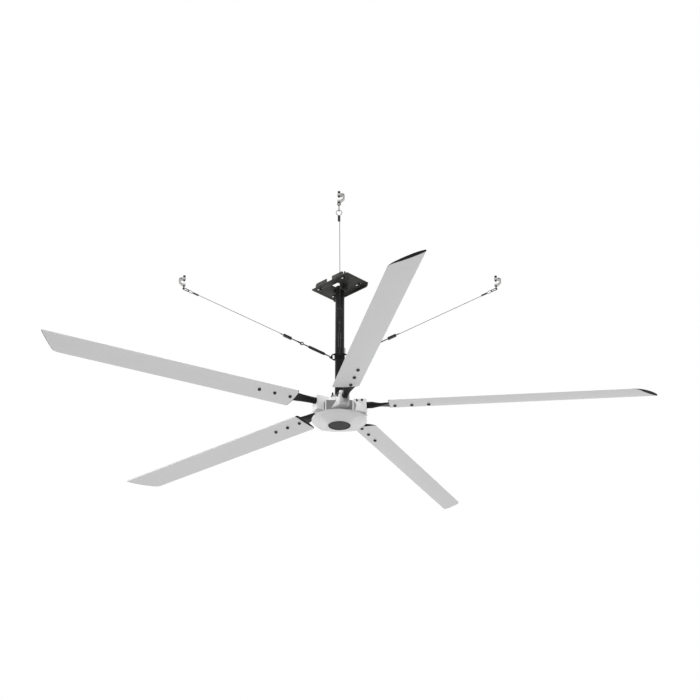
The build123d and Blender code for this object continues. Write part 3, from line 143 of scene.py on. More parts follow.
class EffectLibrary:
    """Shader node groups that several finishes share, each made once."""

    fine_ratio = 11.0
    edge_range = (0.53, 0.62)
    wear_scale = 160.0
    dust_scale = 26.0

    def __init__(self) -> None:
        """Build the groups for mottling, fine grain, edge wear and dust."""
        self.mottle = self._mottle_group()
        self.grain = self._grain_group()
        self.wear = self._wear_group()
        self.dust = self._dust_group()

    @staticmethod
    def _new_group(
        name: str,
        inputs: Sequence[tuple[str, str, float | Colour]],
        outputs: Sequence[tuple[str, str]],
    ) -> tuple[bpy.types.NodeTree, bpy.types.Node, bpy.types.Node]:
        """Make an empty group with its sockets.

        Args:
            name: Name of the group.
            inputs: Name, socket kind and default value of each input.
            outputs: Name and socket kind of each output.

        Returns:
            The tree, its input node and its output node.
        """
        tree = bpy.data.node_groups.new(name, "ShaderNodeTree")
        for label, kind, value in inputs:
            socket = tree.interface.new_socket(label, in_out="INPUT", socket_type=kind)
            socket.default_value = (*value, 1.0) if kind == "NodeSocketColor" else value
        for label, kind in outputs:
            tree.interface.new_socket(label, in_out="OUTPUT", socket_type=kind)
        return tree, tree.nodes.new("NodeGroupInput"), tree.nodes.new("NodeGroupOutput")

    @staticmethod
    def _noise(tree: bpy.types.NodeTree, vector: bpy.types.NodeSocket, detail: float) -> bpy.types.Node:
        """Add a noise texture that reads a vector.

        Args:
            tree: Tree that gets the node.
            vector: Socket that gives the place.
            detail: Number of octaves.

        Returns:
            The noise node.
        """
        noise = tree.nodes.new("ShaderNodeTexNoise")
        noise.inputs["Detail"].default_value = detail
        tree.links.new(vector, noise.inputs["Vector"])
        return noise

    @staticmethod
    def _math(
        tree: bpy.types.NodeTree, operation: str, first: object, second: object
    ) -> bpy.types.NodeSocket:
        """Add a math node.

        Args:
            tree: Tree that gets the node.
            operation: Blender's name of the operation.
            first: Socket or number on the first input.
            second: Socket or number on the second input.

        Returns:
            The result socket.
        """
        node = tree.nodes.new("ShaderNodeMath")
        node.operation = operation
        for place, value in enumerate((first, second)):
            if isinstance(value, bpy.types.NodeSocket):
                tree.links.new(value, node.inputs[place])
            else:
                node.inputs[place].default_value = value
        return node.outputs[0]

    def _mottle_group(self) -> bpy.types.NodeTree:
        """Return a group that varies a colour and a roughness over the surface at two scales."""
        tree, entry, leave = self._new_group(
            "colour_mottle",
            (
                ("Vector", "NodeSocketVector", (0.0, 0.0, 0.0)),
                ("Colour", "NodeSocketColor", grey(0.5)),
                ("Scale", "NodeSocketFloat", 20.0),
                ("Shade", "NodeSocketFloat", 0.1),
                ("Roughness", "NodeSocketFloat", 0.4),
                ("Spread", "NodeSocketFloat", 0.1),
            ),
            (("Colour", "NodeSocketColor"), ("Roughness", "NodeSocketFloat")),
        )
        broad = self._noise(tree, entry.outputs["Vector"], 3.0)
        tree.links.new(entry.outputs["Scale"], broad.inputs["Scale"])
        fine = self._noise(tree, entry.outputs["Vector"], 2.0)
        fine_scale = self._math(tree, "MULTIPLY", entry.outputs["Scale"], self.fine_ratio)
        tree.links.new(fine_scale, fine.inputs["Scale"])
        both = self._math(tree, "ADD", broad.outputs["Fac"], fine.outputs["Fac"])
        swing = self._math(tree, "SUBTRACT", both, 1.0)
        shade = self._math(tree, "MULTIPLY", swing, entry.outputs["Shade"])
        gain = self._math(tree, "ADD", shade, 1.0)
        scale = tree.nodes.new("ShaderNodeVectorMath")
        scale.operation = "SCALE"
        tree.links.new(entry.outputs["Colour"], scale.inputs[0])
        tree.links.new(gain, scale.inputs["Scale"])
        tree.links.new(scale.outputs["Vector"], leave.inputs["Colour"])
        drift = self._math(tree, "MULTIPLY", swing, entry.outputs["Spread"])
        rough = self._math(tree, "ADD", drift, entry.outputs["Roughness"])
        tree.links.new(rough, leave.inputs["Roughness"])
        return tree

    def _grain_group(self) -> bpy.types.NodeTree:
        """Return a group that gives a height for cast skin, orange peel or drawn lines."""
        tree, entry, leave = self._new_group(
            "surface_grain",
            (
                ("Vector", "NodeSocketVector", (0.0, 0.0, 0.0)),
                ("Scale", "NodeSocketFloat", 900.0),
                ("Depth", "NodeSocketFloat", 1.0),
            ),
            (("Height", "NodeSocketFloat"),),
        )
        noise = self._noise(tree, entry.outputs["Vector"], 4.0)
        tree.links.new(entry.outputs["Scale"], noise.inputs["Scale"])
        height = self._math(tree, "MULTIPLY", noise.outputs["Fac"], entry.outputs["Depth"])
        tree.links.new(height, leave.inputs["Height"])
        return tree

    def _wear_group(self) -> bpy.types.NodeTree:
        """Return a group that gives a broken mask along the edges of a shape."""
        tree, entry, leave = self._new_group(
            "edge_wear",
            (
                ("Vector", "NodeSocketVector", (0.0, 0.0, 0.0)),
                ("Amount", "NodeSocketFloat", 0.5),
            ),
            (("Mask", "NodeSocketFloat"),),
        )
        geometry = tree.nodes.new("ShaderNodeNewGeometry")
        ramp = tree.nodes.new("ShaderNodeValToRGB")
        for element, position in zip(ramp.color_ramp.elements, self.edge_range):
            element.position = position
        tree.links.new(geometry.outputs["Pointiness"], ramp.inputs["Fac"])
        noise = self._noise(tree, entry.outputs["Vector"], 3.0)
        noise.inputs["Scale"].default_value = self.wear_scale
        broken = self._math(tree, "MULTIPLY", ramp.outputs["Color"], noise.outputs["Fac"])
        mask = self._math(tree, "MULTIPLY", broken, entry.outputs["Amount"])
        tree.links.new(mask, leave.inputs["Mask"])
        return tree

    def _dust_group(self) -> bpy.types.NodeTree:
        """Return a group that gives a thin patchy mask on faces that look up."""
        tree, entry, leave = self._new_group(
            "settled_dust",
            (
                ("Vector", "NodeSocketVector", (0.0, 0.0, 0.0)),
                ("Amount", "NodeSocketFloat", 0.2),
            ),
            (("Mask", "NodeSocketFloat"),),
        )
        geometry = tree.nodes.new("ShaderNodeNewGeometry")
        split = tree.nodes.new("ShaderNodeSeparateXYZ")
        tree.links.new(geometry.outputs["Normal"], split.inputs[0])
        facing = self._math(tree, "MAXIMUM", split.outputs["Z"], 0.0)
        noise = self._noise(tree, entry.outputs["Vector"], 5.0)
        noise.inputs["Scale"].default_value = self.dust_scale
        patchy = self._math(tree, "MULTIPLY", facing, noise.outputs["Fac"])
        mask = self._math(tree, "MULTIPLY", patchy, entry.outputs["Amount"])
        tree.links.new(mask, leave.inputs["Mask"])
        return tree


@dataclass(frozen=True)
class Finish:
    """One surface finish.

    Attributes:
        name: Name of the material.
        colour: Linear base colour.
        metallic: Share of metal.
        roughness: Mean roughness.
        spread: Change of roughness over the surface.
        shade: Change of brightness over the surface.
        mottle_scale: Patches of shade per metre.
        grain_scale: Grains per metre.
        grain_depth: Strength of the grain in the normal.
        grain_stretch: Shortening of the grain along X, Y and Z, for drawn or turned lines.
        turn: Turn of the pattern about Z, in degrees.
        wear: Strength of the worn edges.
        wear_colour: Linear colour of the worn edges.
        dust: Strength of the dust on faces that look up.
        coat: Weight of the clear coat.
        specular: Strength of the reflection.
    """

    name: str
    colour: Colour
    metallic: float = 0.0
    roughness: float = 0.4
    spread: float = 0.08
    shade: float = 0.08
    mottle_scale: float = 14.0
    grain_scale: float = 700.0
    grain_depth: float = 0.1
    grain_stretch: Colour = (1.0, 1.0, 1.0)
    turn: float = 0.0
    wear: float = 0.0
    wear_colour: Colour = (0.3, 0.3, 0.3)
    dust: float = 0.0
    coat: float = 0.0
    specular: float = 0.5

    def build(self, effects: EffectLibrary) -> bpy.types.Material:
        """Make the material.

        Args:
            effects: Shared shader groups.

        Returns:
            The finished material.
        """
        material = bpy.data.materials.new(self.name)
        material.use_nodes = True
        tree = material.node_tree
        shader = tree.nodes["Principled BSDF"]
        shader.inputs["Metallic"].default_value = self.metallic
        shader.inputs["Specular IOR Level"].default_value = self.specular
        shader.inputs["Coat Weight"].default_value = self.coat
        shader.inputs["Coat Roughness"].default_value = COAT_ROUGHNESS
        place = tree.nodes.new("ShaderNodeTexCoord")
        turned = tree.nodes.new("ShaderNodeMapping")
        turned.inputs["Rotation"].default_value = (0, 0, math.radians(-self.turn))
        tree.links.new(place.outputs["Object"], turned.inputs["Vector"])
        vector = turned.outputs["Vector"]
        mottle = self._group(tree, effects.mottle, vector)
        mottle.inputs["Colour"].default_value = (*self.colour, 1)
        mottle.inputs["Scale"].default_value = self.mottle_scale
        mottle.inputs["Shade"].default_value = self.shade
        mottle.inputs["Roughness"].default_value = self.roughness
        mottle.inputs["Spread"].default_value = self.spread
        colour = mottle.outputs["Colour"]
        if self.wear:
            worn = self._group(tree, effects.wear, vector)
            worn.inputs["Amount"].default_value = self.wear
            colour = self._layer(tree, colour, worn.outputs["Mask"], self.wear_colour)
        if self.dust:
            dusty = self._group(tree, effects.dust, vector)
            dusty.inputs["Amount"].default_value = self.dust
            colour = self._layer(tree, colour, dusty.outputs["Mask"], DUST_COLOUR)
        tree.links.new(colour, shader.inputs["Base Color"])
        tree.links.new(mottle.outputs["Roughness"], shader.inputs["Roughness"])
        stretch = tree.nodes.new("ShaderNodeMapping")
        stretch.inputs["Scale"].default_value = self.grain_stretch
        tree.links.new(vector, stretch.inputs["Vector"])
        grain = self._group(tree, effects.grain, stretch.outputs["Vector"])
        grain.inputs["Scale"].default_value = self.grain_scale
        bump = tree.nodes.new("ShaderNodeBump")
        bump.inputs["Strength"].default_value = self.grain_depth
        bump.inputs["Distance"].default_value = GRAIN_HEIGHT
        tree.links.new(grain.outputs["Height"], bump.inputs["Height"])
        tree.links.new(bump.outputs["Normal"], shader.inputs["Normal"])
        return material

    @staticmethod
    def _group(
        tree: bpy.types.NodeTree, group: bpy.types.NodeTree, vector: bpy.types.NodeSocket
    ) -> bpy.types.Node:
        """Place a shared group in the material and give it its vector.

        Args:
            tree: Tree of the material.
            group: The shared group.
            vector: Socket that gives the place.

        Returns:
            The group's node.
        """
        node = tree.nodes.new("ShaderNodeGroup")
        node.node_tree = group
        tree.links.new(vector, node.inputs["Vector"])
        return node

    @staticmethod
    def _layer(
        tree: bpy.types.NodeTree,
        base: bpy.types.NodeSocket,
        mask: bpy.types.NodeSocket,
        over: Colour,
    ) -> bpy.types.NodeSocket:
        """Mix a colour over another by a mask.

        Args:
            tree: Tree of the material.
            base: Socket of the colour below.
            mask: Socket of the mask.
            over: Linear colour on top.

        Returns:
            The mixed colour's socket.
        """
        mix = tree.nodes.new("ShaderNodeMix")
        mix.data_type = "RGBA"
        tree.links.new(mask, mix.inputs["Factor"])
        tree.links.new(base, mix.inputs["A"])
        mix.inputs["B"].default_value = (*over, 1)
        return mix.outputs["Result"]


FINISHES = {
    Slot.PLATE: Finish(
        "plate_powder_coat", (0.036, 0.036, 0.033), roughness=0.5, grain_scale=650, grain_depth=0.25,
        wear=0.3, wear_colour=grey(0.1), dust=0.15, specular=0.25,
    ),
    Slot.BLACK: Finish(
        "black_powder_coat", grey(0.005), roughness=0.36, grain_scale=520, grain_depth=0.12, wear=0.25,
        wear_colour=grey(0.06), dust=0.08, specular=0.14,
    ),
    Slot.FASTENER: Finish(
        "black_oxide_steel", grey(0.012), metallic=0.2, roughness=0.42, spread=0.12, grain_scale=1200,
        grain_depth=0.2, wear=0.5, wear_colour=grey(0.1), specular=0.35,
    ),
    Slot.ZINC: Finish(
        "zinc_plate", (0.5, 0.5, 0.49), metallic=1.0, roughness=0.36, spread=0.2, shade=0.35,
        mottle_scale=120, grain_scale=900, grain_depth=0.25,
    ),
    Slot.ROPE: Finish(
        "galvanised_wire", grey(0.045), metallic=0.4, roughness=0.5, spread=0.15, shade=0.3,
        mottle_scale=200, grain_scale=1500, grain_depth=0.2, specular=0.2,
    ),
    Slot.MACHINED: Finish(
        "turned_steel", (0.46, 0.46, 0.45), metallic=1.0, roughness=0.25, shade=0.12, mottle_scale=60,
        grain_scale=900, grain_depth=0.2, grain_stretch=(0.06, 0.06, 1.0),
    ),
    Slot.CORE: Finish(
        "stacked_iron", grey(0.16), metallic=0.9, roughness=0.5, shade=0.2, mottle_scale=60,
        grain_scale=1400, grain_depth=0.5, grain_stretch=(0.02, 0.02, 1.0),
    ),
    Slot.COPPER: Finish(
        "varnished_copper", (0.55, 0.2, 0.08), metallic=0.9, roughness=0.3, shade=0.3, mottle_scale=90,
        grain_scale=800, grain_depth=0.6, grain_stretch=(1.0, 1.0, 0.1), coat=0.5,
    ),
    Slot.HUB: Finish(
        "silver_white_casting", grey(0.82), roughness=0.36, grain_scale=420, grain_depth=0.3, shade=0.05,
        wear=0.12, wear_colour=grey(0.5), dust=0.12, coat=0.15, specular=0.4,
    ),
    Slot.COVER: Finish(
        "silver_white_cover", grey(0.62), roughness=0.34, grain_scale=700, grain_depth=0.1, shade=0.04,
        coat=0.25,
    ),
    Slot.BADGE: Finish(
        "dark_grey_disc", grey(0.028), roughness=0.4, grain_scale=500, grain_depth=0.15, shade=1.2,
        mottle_scale=24, grain_stretch=(1.0, 0.05, 1.0), specular=0.1,
    ),
    Slot.CAP: Finish(
        "black_moulded_cap", grey(0.005), roughness=0.5, grain_scale=900, grain_depth=0.3, shade=0.1,
        wear=0.15, wear_colour=grey(0.03), specular=0.15,
    ),
    Tone.BEZEL: Finish(
        "dark_bezel", grey(0.006), roughness=0.4, grain_scale=600, grain_depth=0.1, shade=0.1,
        specular=0.08,
    ),
    # Painted shade: a darker grey on the core's panels that stands in for the shade falling on them; the
    # dust on top is real.
    Tone.PANEL: Finish(
        "silver_grey_panel", grey(0.22), roughness=0.38, grain_scale=420, grain_depth=0.3, shade=0.08,
        dust=0.1, specular=0.3,
    ),
    Tone.FITTING: Finish(
        "darkened_fittings", (0.06, 0.06, 0.059), metallic=0.8, roughness=0.45, spread=0.15, shade=0.35,
        mottle_scale=120, grain_scale=900, grain_depth=0.25, specular=0.3,
    ),
}


def blade_finish(number: int, azimuth: float) -> Finish:
    """Return the anodised finish of one blade, with drawn lines along it.

    Args:
        number: Number of the blade.
        azimuth: Azimuth of the blade, in degrees.

    Returns:
        The blade's finish.
    """
    return Finish(
        f"anodised_blade_{number}", (0.6, 0.6, 0.605), metallic=0.5, roughness=0.38, spread=0.06,
        shade=0.05, mottle_scale=5, grain_scale=900, grain_depth=0.22, grain_stretch=(0.008, 1.0, 1.0),
        turn=azimuth, dust=0.18,
    )


@dataclass(frozen=True)
class Bolt:
    """Sizes of a bolt or screw, from the seat under its washer.

    Attributes:
        diameter: Diameter of the shank.
        pitch: Distance between two thread crests.
        length: Length of the shank below the seat.
        grip: Length of the plain shank below the seat.
        across: Distance across the flats of the head.
        height: Height of the head.
        sides: Number of flats.
        washer: Diameter and thickness of the washer, or None.
    """

    diameter: float
    pitch: float
    length: float
    grip: float
    across: float
    height: float
    sides: int = 6
    washer: tuple[float, float] | None = None


class Shape:
    """A mesh in the making, built of rings of points."""

    ring_steps = 36
    chamfer_slope = math.tan(math.radians(30))
    crown_share = 0.94
    thread_steps = 16
    thread_depth = 0.66
    thread_outline = (0.06, 0.42, 0.54, 0.9)
    bead_sides = 8
    washer_play = 0.3 * MM
    flat_limit = math.radians(0.6)

    def __init__(self) -> None:
        """Start an empty mesh."""
        self.mesh = bmesh.new()

    def stack(self, rings: Sequence[Sequence[Vector]], place: Matrix, loop: bool = False) -> None:
        """Join rings of points into one closed skin.

        Args:
            rings: Rings of equal count, in order.
            place: Placement of the points.
            loop: Whether the last ring joins the first; else both get a cap.
        """
        rows = [[self.mesh.verts.new(place @ point) for point in ring] for ring in rings]
        pairs = list(zip(rows, rows[1:]))
        if loop:
            pairs.append((rows[-1], rows[0]))
        else:
            self.mesh.faces.new(rows[0])
            self.mesh.faces.new(rows[-1])
        for low, high in pairs:
            for i in range(len(low)):
                self.mesh.faces.new((low[i - 1], low[i], high[i], high[i - 1]))

    def turned(self, profile: Profile, place: Matrix, loop: bool = False) -> None:
        """Turn a profile about the local Z axis.

        Args:
            profile: Radius and height of each point.
            place: Placement of the turned piece.
            loop: Whether the profile closes on itself, as on a washer.
        """
        turns = [math.tau * step / self.ring_steps for step in range(self.ring_steps)]
        rings = [
            [Vector((radius * math.cos(turn), radius * math.sin(turn), height)) for turn in turns]
            for radius, height in profile
        ]
        self.stack(rings, place, loop)

    def head(self, bolt: Bolt, place: Matrix, both_ends: bool = False) -> None:
        """Add a head or nut whose corners are turned off at 30 degrees.

        Args:
            bolt: Sizes of the bolt.
            place: Placement of the head's seat.
            both_ends: Whether the seat's corners are turned off too, as on a nut.
        """
        flat = bolt.across / 2
        crown = self.crown_share * flat
        sector = math.tau / bolt.sides
        outer, low, high, disc = [], [], [], []
        for step in range(self.ring_steps):
            turn = math.tau * step / self.ring_steps
            reach = flat / math.cos(turn % sector - sector / 2)
            drop = (reach - crown) * self.chamfer_slope
            way = Vector((math.cos(turn), math.sin(turn), 0))
            disc.append(way * crown)
            outer.append(way * reach)
            low.append(way * reach + UP * (drop if both_ends else 0.0))
            high.append(way * reach + UP * (bolt.height - drop))
        rings = [disc] if both_ends else [outer]
        rings += [low] if both_ends else []
        rings += [high, [point + UP * bolt.height for point in disc]]
        self.stack(rings, place)

    def thread(self, radius: float, pitch: float, span: tuple[float, float], place: Matrix) -> None:
        """Add a helical ridge round a rod.

        Args:
            radius: Outer radius of the thread.
            pitch: Distance from one turn to the next.
            span: Heights where the thread begins and ends.
            place: Placement of the rod.
        """
        root = radius - self.thread_depth * pitch
        outline = tuple(zip((root, radius, radius, root), self.thread_outline))
        sections = []
        for step in range(round((span[1] - span[0] - pitch) / pitch * self.thread_steps) + 1):
            turn = math.tau * step / self.thread_steps
            rise = span[0] + pitch * step / self.thread_steps
            sections.append(
                [
                    Vector((reach * math.cos(turn), reach * math.sin(turn), rise + share * pitch))
                    for reach, share in outline
                ]
            )
        self.stack(sections, place)

    def rod(self, bolt: Bolt, top: float, place: Matrix) -> None:
        """Add a bolt's shank, threaded past its grip.

        Args:
            bolt: Sizes of the bolt.
            top: Height of the shank's upper end above the seat.
            place: Placement of the seat.
        """
        radius = bolt.diameter / 2
        root = radius - 0.6 * bolt.pitch
        if bolt.grip < bolt.length:
            self.turned(
                (
                    (radius, top),
                    (radius, -bolt.grip),
                    (root, -bolt.grip - 0.5 * bolt.pitch),
                    (root, 0.4 * bolt.pitch - bolt.length),
                    (root - 0.4 * bolt.pitch, -bolt.length),
                ),
                place,
            )
            self.thread(radius, bolt.pitch, (0.3 * bolt.pitch - bolt.length, -bolt.grip), place)
        else:
            self.turned(((radius, top), (radius, -bolt.length)), place)

    def washer(self, bolt: Bolt, place: Matrix) -> None:
        """Add a bolt's washer on its seat.

        Args:
            bolt: Sizes of the bolt.
            place: Placement of the seat.
        """
        outer, height = bolt.washer[0] / 2, bolt.washer[1]
        inner, edge = bolt.diameter / 2 + self.washer_play, 0.2 * height
        self.turned(
            (
                (inner, 0),
                (outer - edge, 0),
                (outer, edge),
                (outer, height - edge),
                (outer - edge, height),
                (inner, height),
            ),
            place,
            loop=True,
        )

    def bolt(self, bolt: Bolt, place: Matrix) -> None:
        """Add a whole bolt: washer, head and shank.

        Args:
            bolt: Sizes of the bolt.
            place: Placement of the seat, with local Z towards the head.
        """
        rise = 0.0
        if bolt.washer:
            self.washer(bolt, place)
            rise = bolt.washer[1]
        self.head(bolt, place @ Matrix.Translation((0, 0, rise)))
        self.rod(bolt, rise, place)

    def bead(self, path: Sequence[Vector], normal: Vector, radius: float, loop: bool) -> None:
        """Add a rippled weld bead along a flat path.

        Args:
            path: Evenly spaced points of the bead.
            normal: Direction square to the path's plane.
            radius: Mean radius of the bead.
            loop: Whether the path closes on itself.
        """
        count = len(path)
        rings = []
        for number, point in enumerate(path):
            after = path[(number + 1) % count] if loop else path[min(number + 1, count - 1)]
            before = path[number - 1] if loop else path[max(number - 1, 0)]
            cross = (after - before).normalized().cross(normal)
            swell = radius * (1 + 0.1 * math.sin(math.tau * number / 3) + 0.05 * math.sin(1.7 * number))
            turns = [math.tau * step / self.bead_sides for step in range(self.bead_sides)]
            rings.append([point + (normal * math.cos(t) + cross * math.sin(t)) * swell for t in turns])
        self.stack(rings, Matrix.Identity(4), loop)

    def soften(self, source: bpy.types.Mesh, radius: float, segments: int = 2, limit: float = 34.0) -> None:
        """Copy a mesh with its sharp edges rounded.

        Args:
            source: Mesh to copy.
            radius: Size of the rounds.
            segments: Faces across a round.
            limit: Angle between faces, in degrees, past which an edge is rounded.
        """
        self.mesh.from_mesh(source)
        bmesh.ops.remove_doubles(self.mesh, verts=self.mesh.verts, dist=MERGE_DISTANCE)
        bmesh.ops.dissolve_limit(
            self.mesh, angle_limit=self.flat_limit, verts=self.mesh.verts, edges=self.mesh.edges
        )
        sharp = [
            edge
            for edge in self.mesh.edges
            if len(edge.link_faces) == 2 and edge.calc_face_angle() > math.radians(limit)
        ]
        bmesh.ops.bevel(
            self.mesh,
            geom=sharp,
            offset=radius,
            offset_type="OFFSET",
            segments=segments,
            profile=0.5,
            affect="EDGES",
            clamp_overlap=True,
            material=-1,
        )

    def finish(
        self,
        name: str,
        material: bpy.types.Material,
        body: str,
        slot: Slot,
        replaced: Iterable[str] = (),
        crease: float = 32.0,
    ) -> bpy.types.Object:
        """Turn the mesh into a piece that rides on a body.

        Args:
            name: Name of the piece.
            material: Its material.
            body: Body that carries it.
            slot: Material slot of its finish; not used.
            replaced: Nodes that it stands for.
            crease: Angle between faces, in degrees, past which an edge stays sharp.

        Returns:
            The new object.
        """
        bmesh.ops.remove_doubles(self.mesh, verts=self.mesh.verts, dist=MERGE_DISTANCE / 4)
        bmesh.ops.recalc_face_normals(self.mesh, faces=self.mesh.faces)
        data = bpy.data.meshes.new(name)
        self.mesh.to_mesh(data)
        self.mesh.free()
        data.shade_smooth()
        data.set_sharp_from_angle(angle=math.radians(crease))
        data.materials.append(material)
        piece = bpy.data.objects.new(name, data)
        bpy.context.scene.collection.objects.link(piece)
        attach(piece, body)
        nodes = list(replaced)
        if nodes:
            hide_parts(*nodes)
        LOG.info("%s: %d faces on %s", name, len(data.polygons), body)
        return piece


def local_place(origin: Vector, along: Vector, up: Vector) -> Matrix:
    """Return the placement with local Z along one direction and local X near another.

    Args:
        origin: Place of the local origin.
        along: Direction near local X.
        up: Direction of local Z.

    Returns:
        The placement.
    """
    rise = up.normalized()
    ahead = (along - rise * along.dot(rise)).normalized()
    place = Matrix((ahead, rise.cross(ahead), rise)).transposed().to_4x4()
    place.translation = origin
    return place


def polar(radius: float, azimuth: float, height: float = 0.0) -> Vector:
    """Return the point at a radius, an azimuth in degrees and a height."""
    turn = math.radians(azimuth)
    return Vector((radius * math.cos(turn), radius * math.sin(turn), height))


def mesh_of_curve(curve: bpy.types.Curve) -> bpy.types.Mesh:
    """Return the mesh that a curve makes."""
    holder = bpy.data.objects.new(curve.name, curve)
    bpy.context.scene.collection.objects.link(holder)
    mesh = bpy.data.meshes.new_from_object(holder.evaluated_get(bpy.context.evaluated_depsgraph_get()))
    bpy.data.objects.remove(holder)
    return mesh


def strand_mesh(name: str, lines: Sequence[Sequence[Vector]], radius: float) -> bpy.types.Mesh:
    """Sweep round strands along lines.

    Args:
        name: Name of the mesh.
        lines: Points of each strand.
        radius: Radius of a strand.

    Returns:
        One closed mesh for all the strands.
    """
    curve = bpy.data.curves.new(name, "CURVE")
    curve.dimensions = "3D"
    curve.bevel_depth = radius
    curve.bevel_resolution = 1
    curve.use_fill_caps = True
    for line in lines:
        spline = curve.splines.new("POLY")
        spline.points.add(len(line) - 1)
        for point, place in zip(spline.points, line):
            point.co = (*place, 1)
    return mesh_of_curve(curve)


def curve_points(name: str, controls: Sequence[Vector], resolution: int) -> list[Vector]:
    """Read the points of a smooth curve through its control points' hull.

    Args:
        name: Name of the curve.
        controls: Control points.
        resolution: Steps from one control point to the next.

    Returns:
        The points along the curve.
    """
    curve = bpy.data.curves.new(name, "CURVE")
    curve.dimensions = "3D"
    spline = curve.splines.new("NURBS")
    spline.points.add(len(controls) - 1)
    for point, place in zip(spline.points, controls):
        point.co = (*place, 1)
    spline.order_u = 3
    spline.use_endpoint_u = True
    spline.resolution_u = resolution
    mesh = mesh_of_curve(curve)
    points = [vert.co.copy() for vert in mesh.vertices]
    bpy.data.meshes.remove(mesh)
    return points


def even_points(line: Sequence[Vector], step: float) -> list[Vector]:
    """Return points spaced evenly along a line.

    Args:
        line: Points of the line.
        step: Wanted distance from one point to the next.

    Returns:
        Evenly spaced points, both ends kept.
    """
    lengths = [0.0]
    for start, end in zip(line, line[1:]):
        lengths.append(lengths[-1] + (end - start).length)
    count = max(2, round(lengths[-1] / step))
    places, index = [], 0
    for number in range(count + 1):
        target = lengths[-1] * number / count
        while index < len(line) - 2 and lengths[index + 1] < target:
            index += 1
        span = lengths[index + 1] - lengths[index]
        share = (target - lengths[index]) / span if span else 0.0
        places.append(line[index].lerp(line[index + 1], share))
    return places


@dataclass
class WireRope:
    """Stranded steel rope.

    Attributes:
        diameter: Outer diameter of the rope.
        strands: Number of outer strands round the core.
        lay_length: Length of one turn of a strand.
        steps_per_turn: Points of a strand in one turn.
    """

    diameter: float = 4 * MM
    strands: int = 6
    lay_length: float = 26 * MM
    steps_per_turn: int = 9

    def lines(self, path: Sequence[Vector]) -> list[list[Vector]]:
        """Return the core's line and each strand's helix round a path.

        Args:
            path: Points of the rope's centreline.

        Returns:
            Points of the core and of each strand.
        """
        strand_radius = self.diameter / 6
        centre = even_points(path, self.lay_length / self.steps_per_turn)
        tangents = [
            (centre[min(i + 1, len(centre) - 1)] - centre[max(i - 1, 0)]).normalized()
            for i in range(len(centre))
        ]
        side = tangents[0].orthogonal().normalized()
        made: list[list[Vector]] = [[] for _ in range(self.strands)]
        for number, (place, tangent) in enumerate(zip(centre, tangents)):
            side = (side - tangent * side.dot(tangent)).normalized()
            cross = tangent.cross(side)
            for strand in range(self.strands):
                turn = math.tau * (strand / self.strands + number / self.steps_per_turn)
                offset = side * math.cos(turn) + cross * math.sin(turn)
                made[strand].append(place + offset * (self.diameter / 2 - strand_radius))
        return [list(centre), *made]

    def mesh(self, name: str, paths: Sequence[Sequence[Vector]]) -> bpy.types.Mesh:
        """Return the mesh of the rope along one or more paths.

        Args:
            name: Name of the mesh.
            paths: Centrelines.

        Returns:
            The mesh of all strands.
        """
        lines = [line for path in paths for line in self.lines(path)]
        return strand_mesh(name, lines, self.diameter / 6)


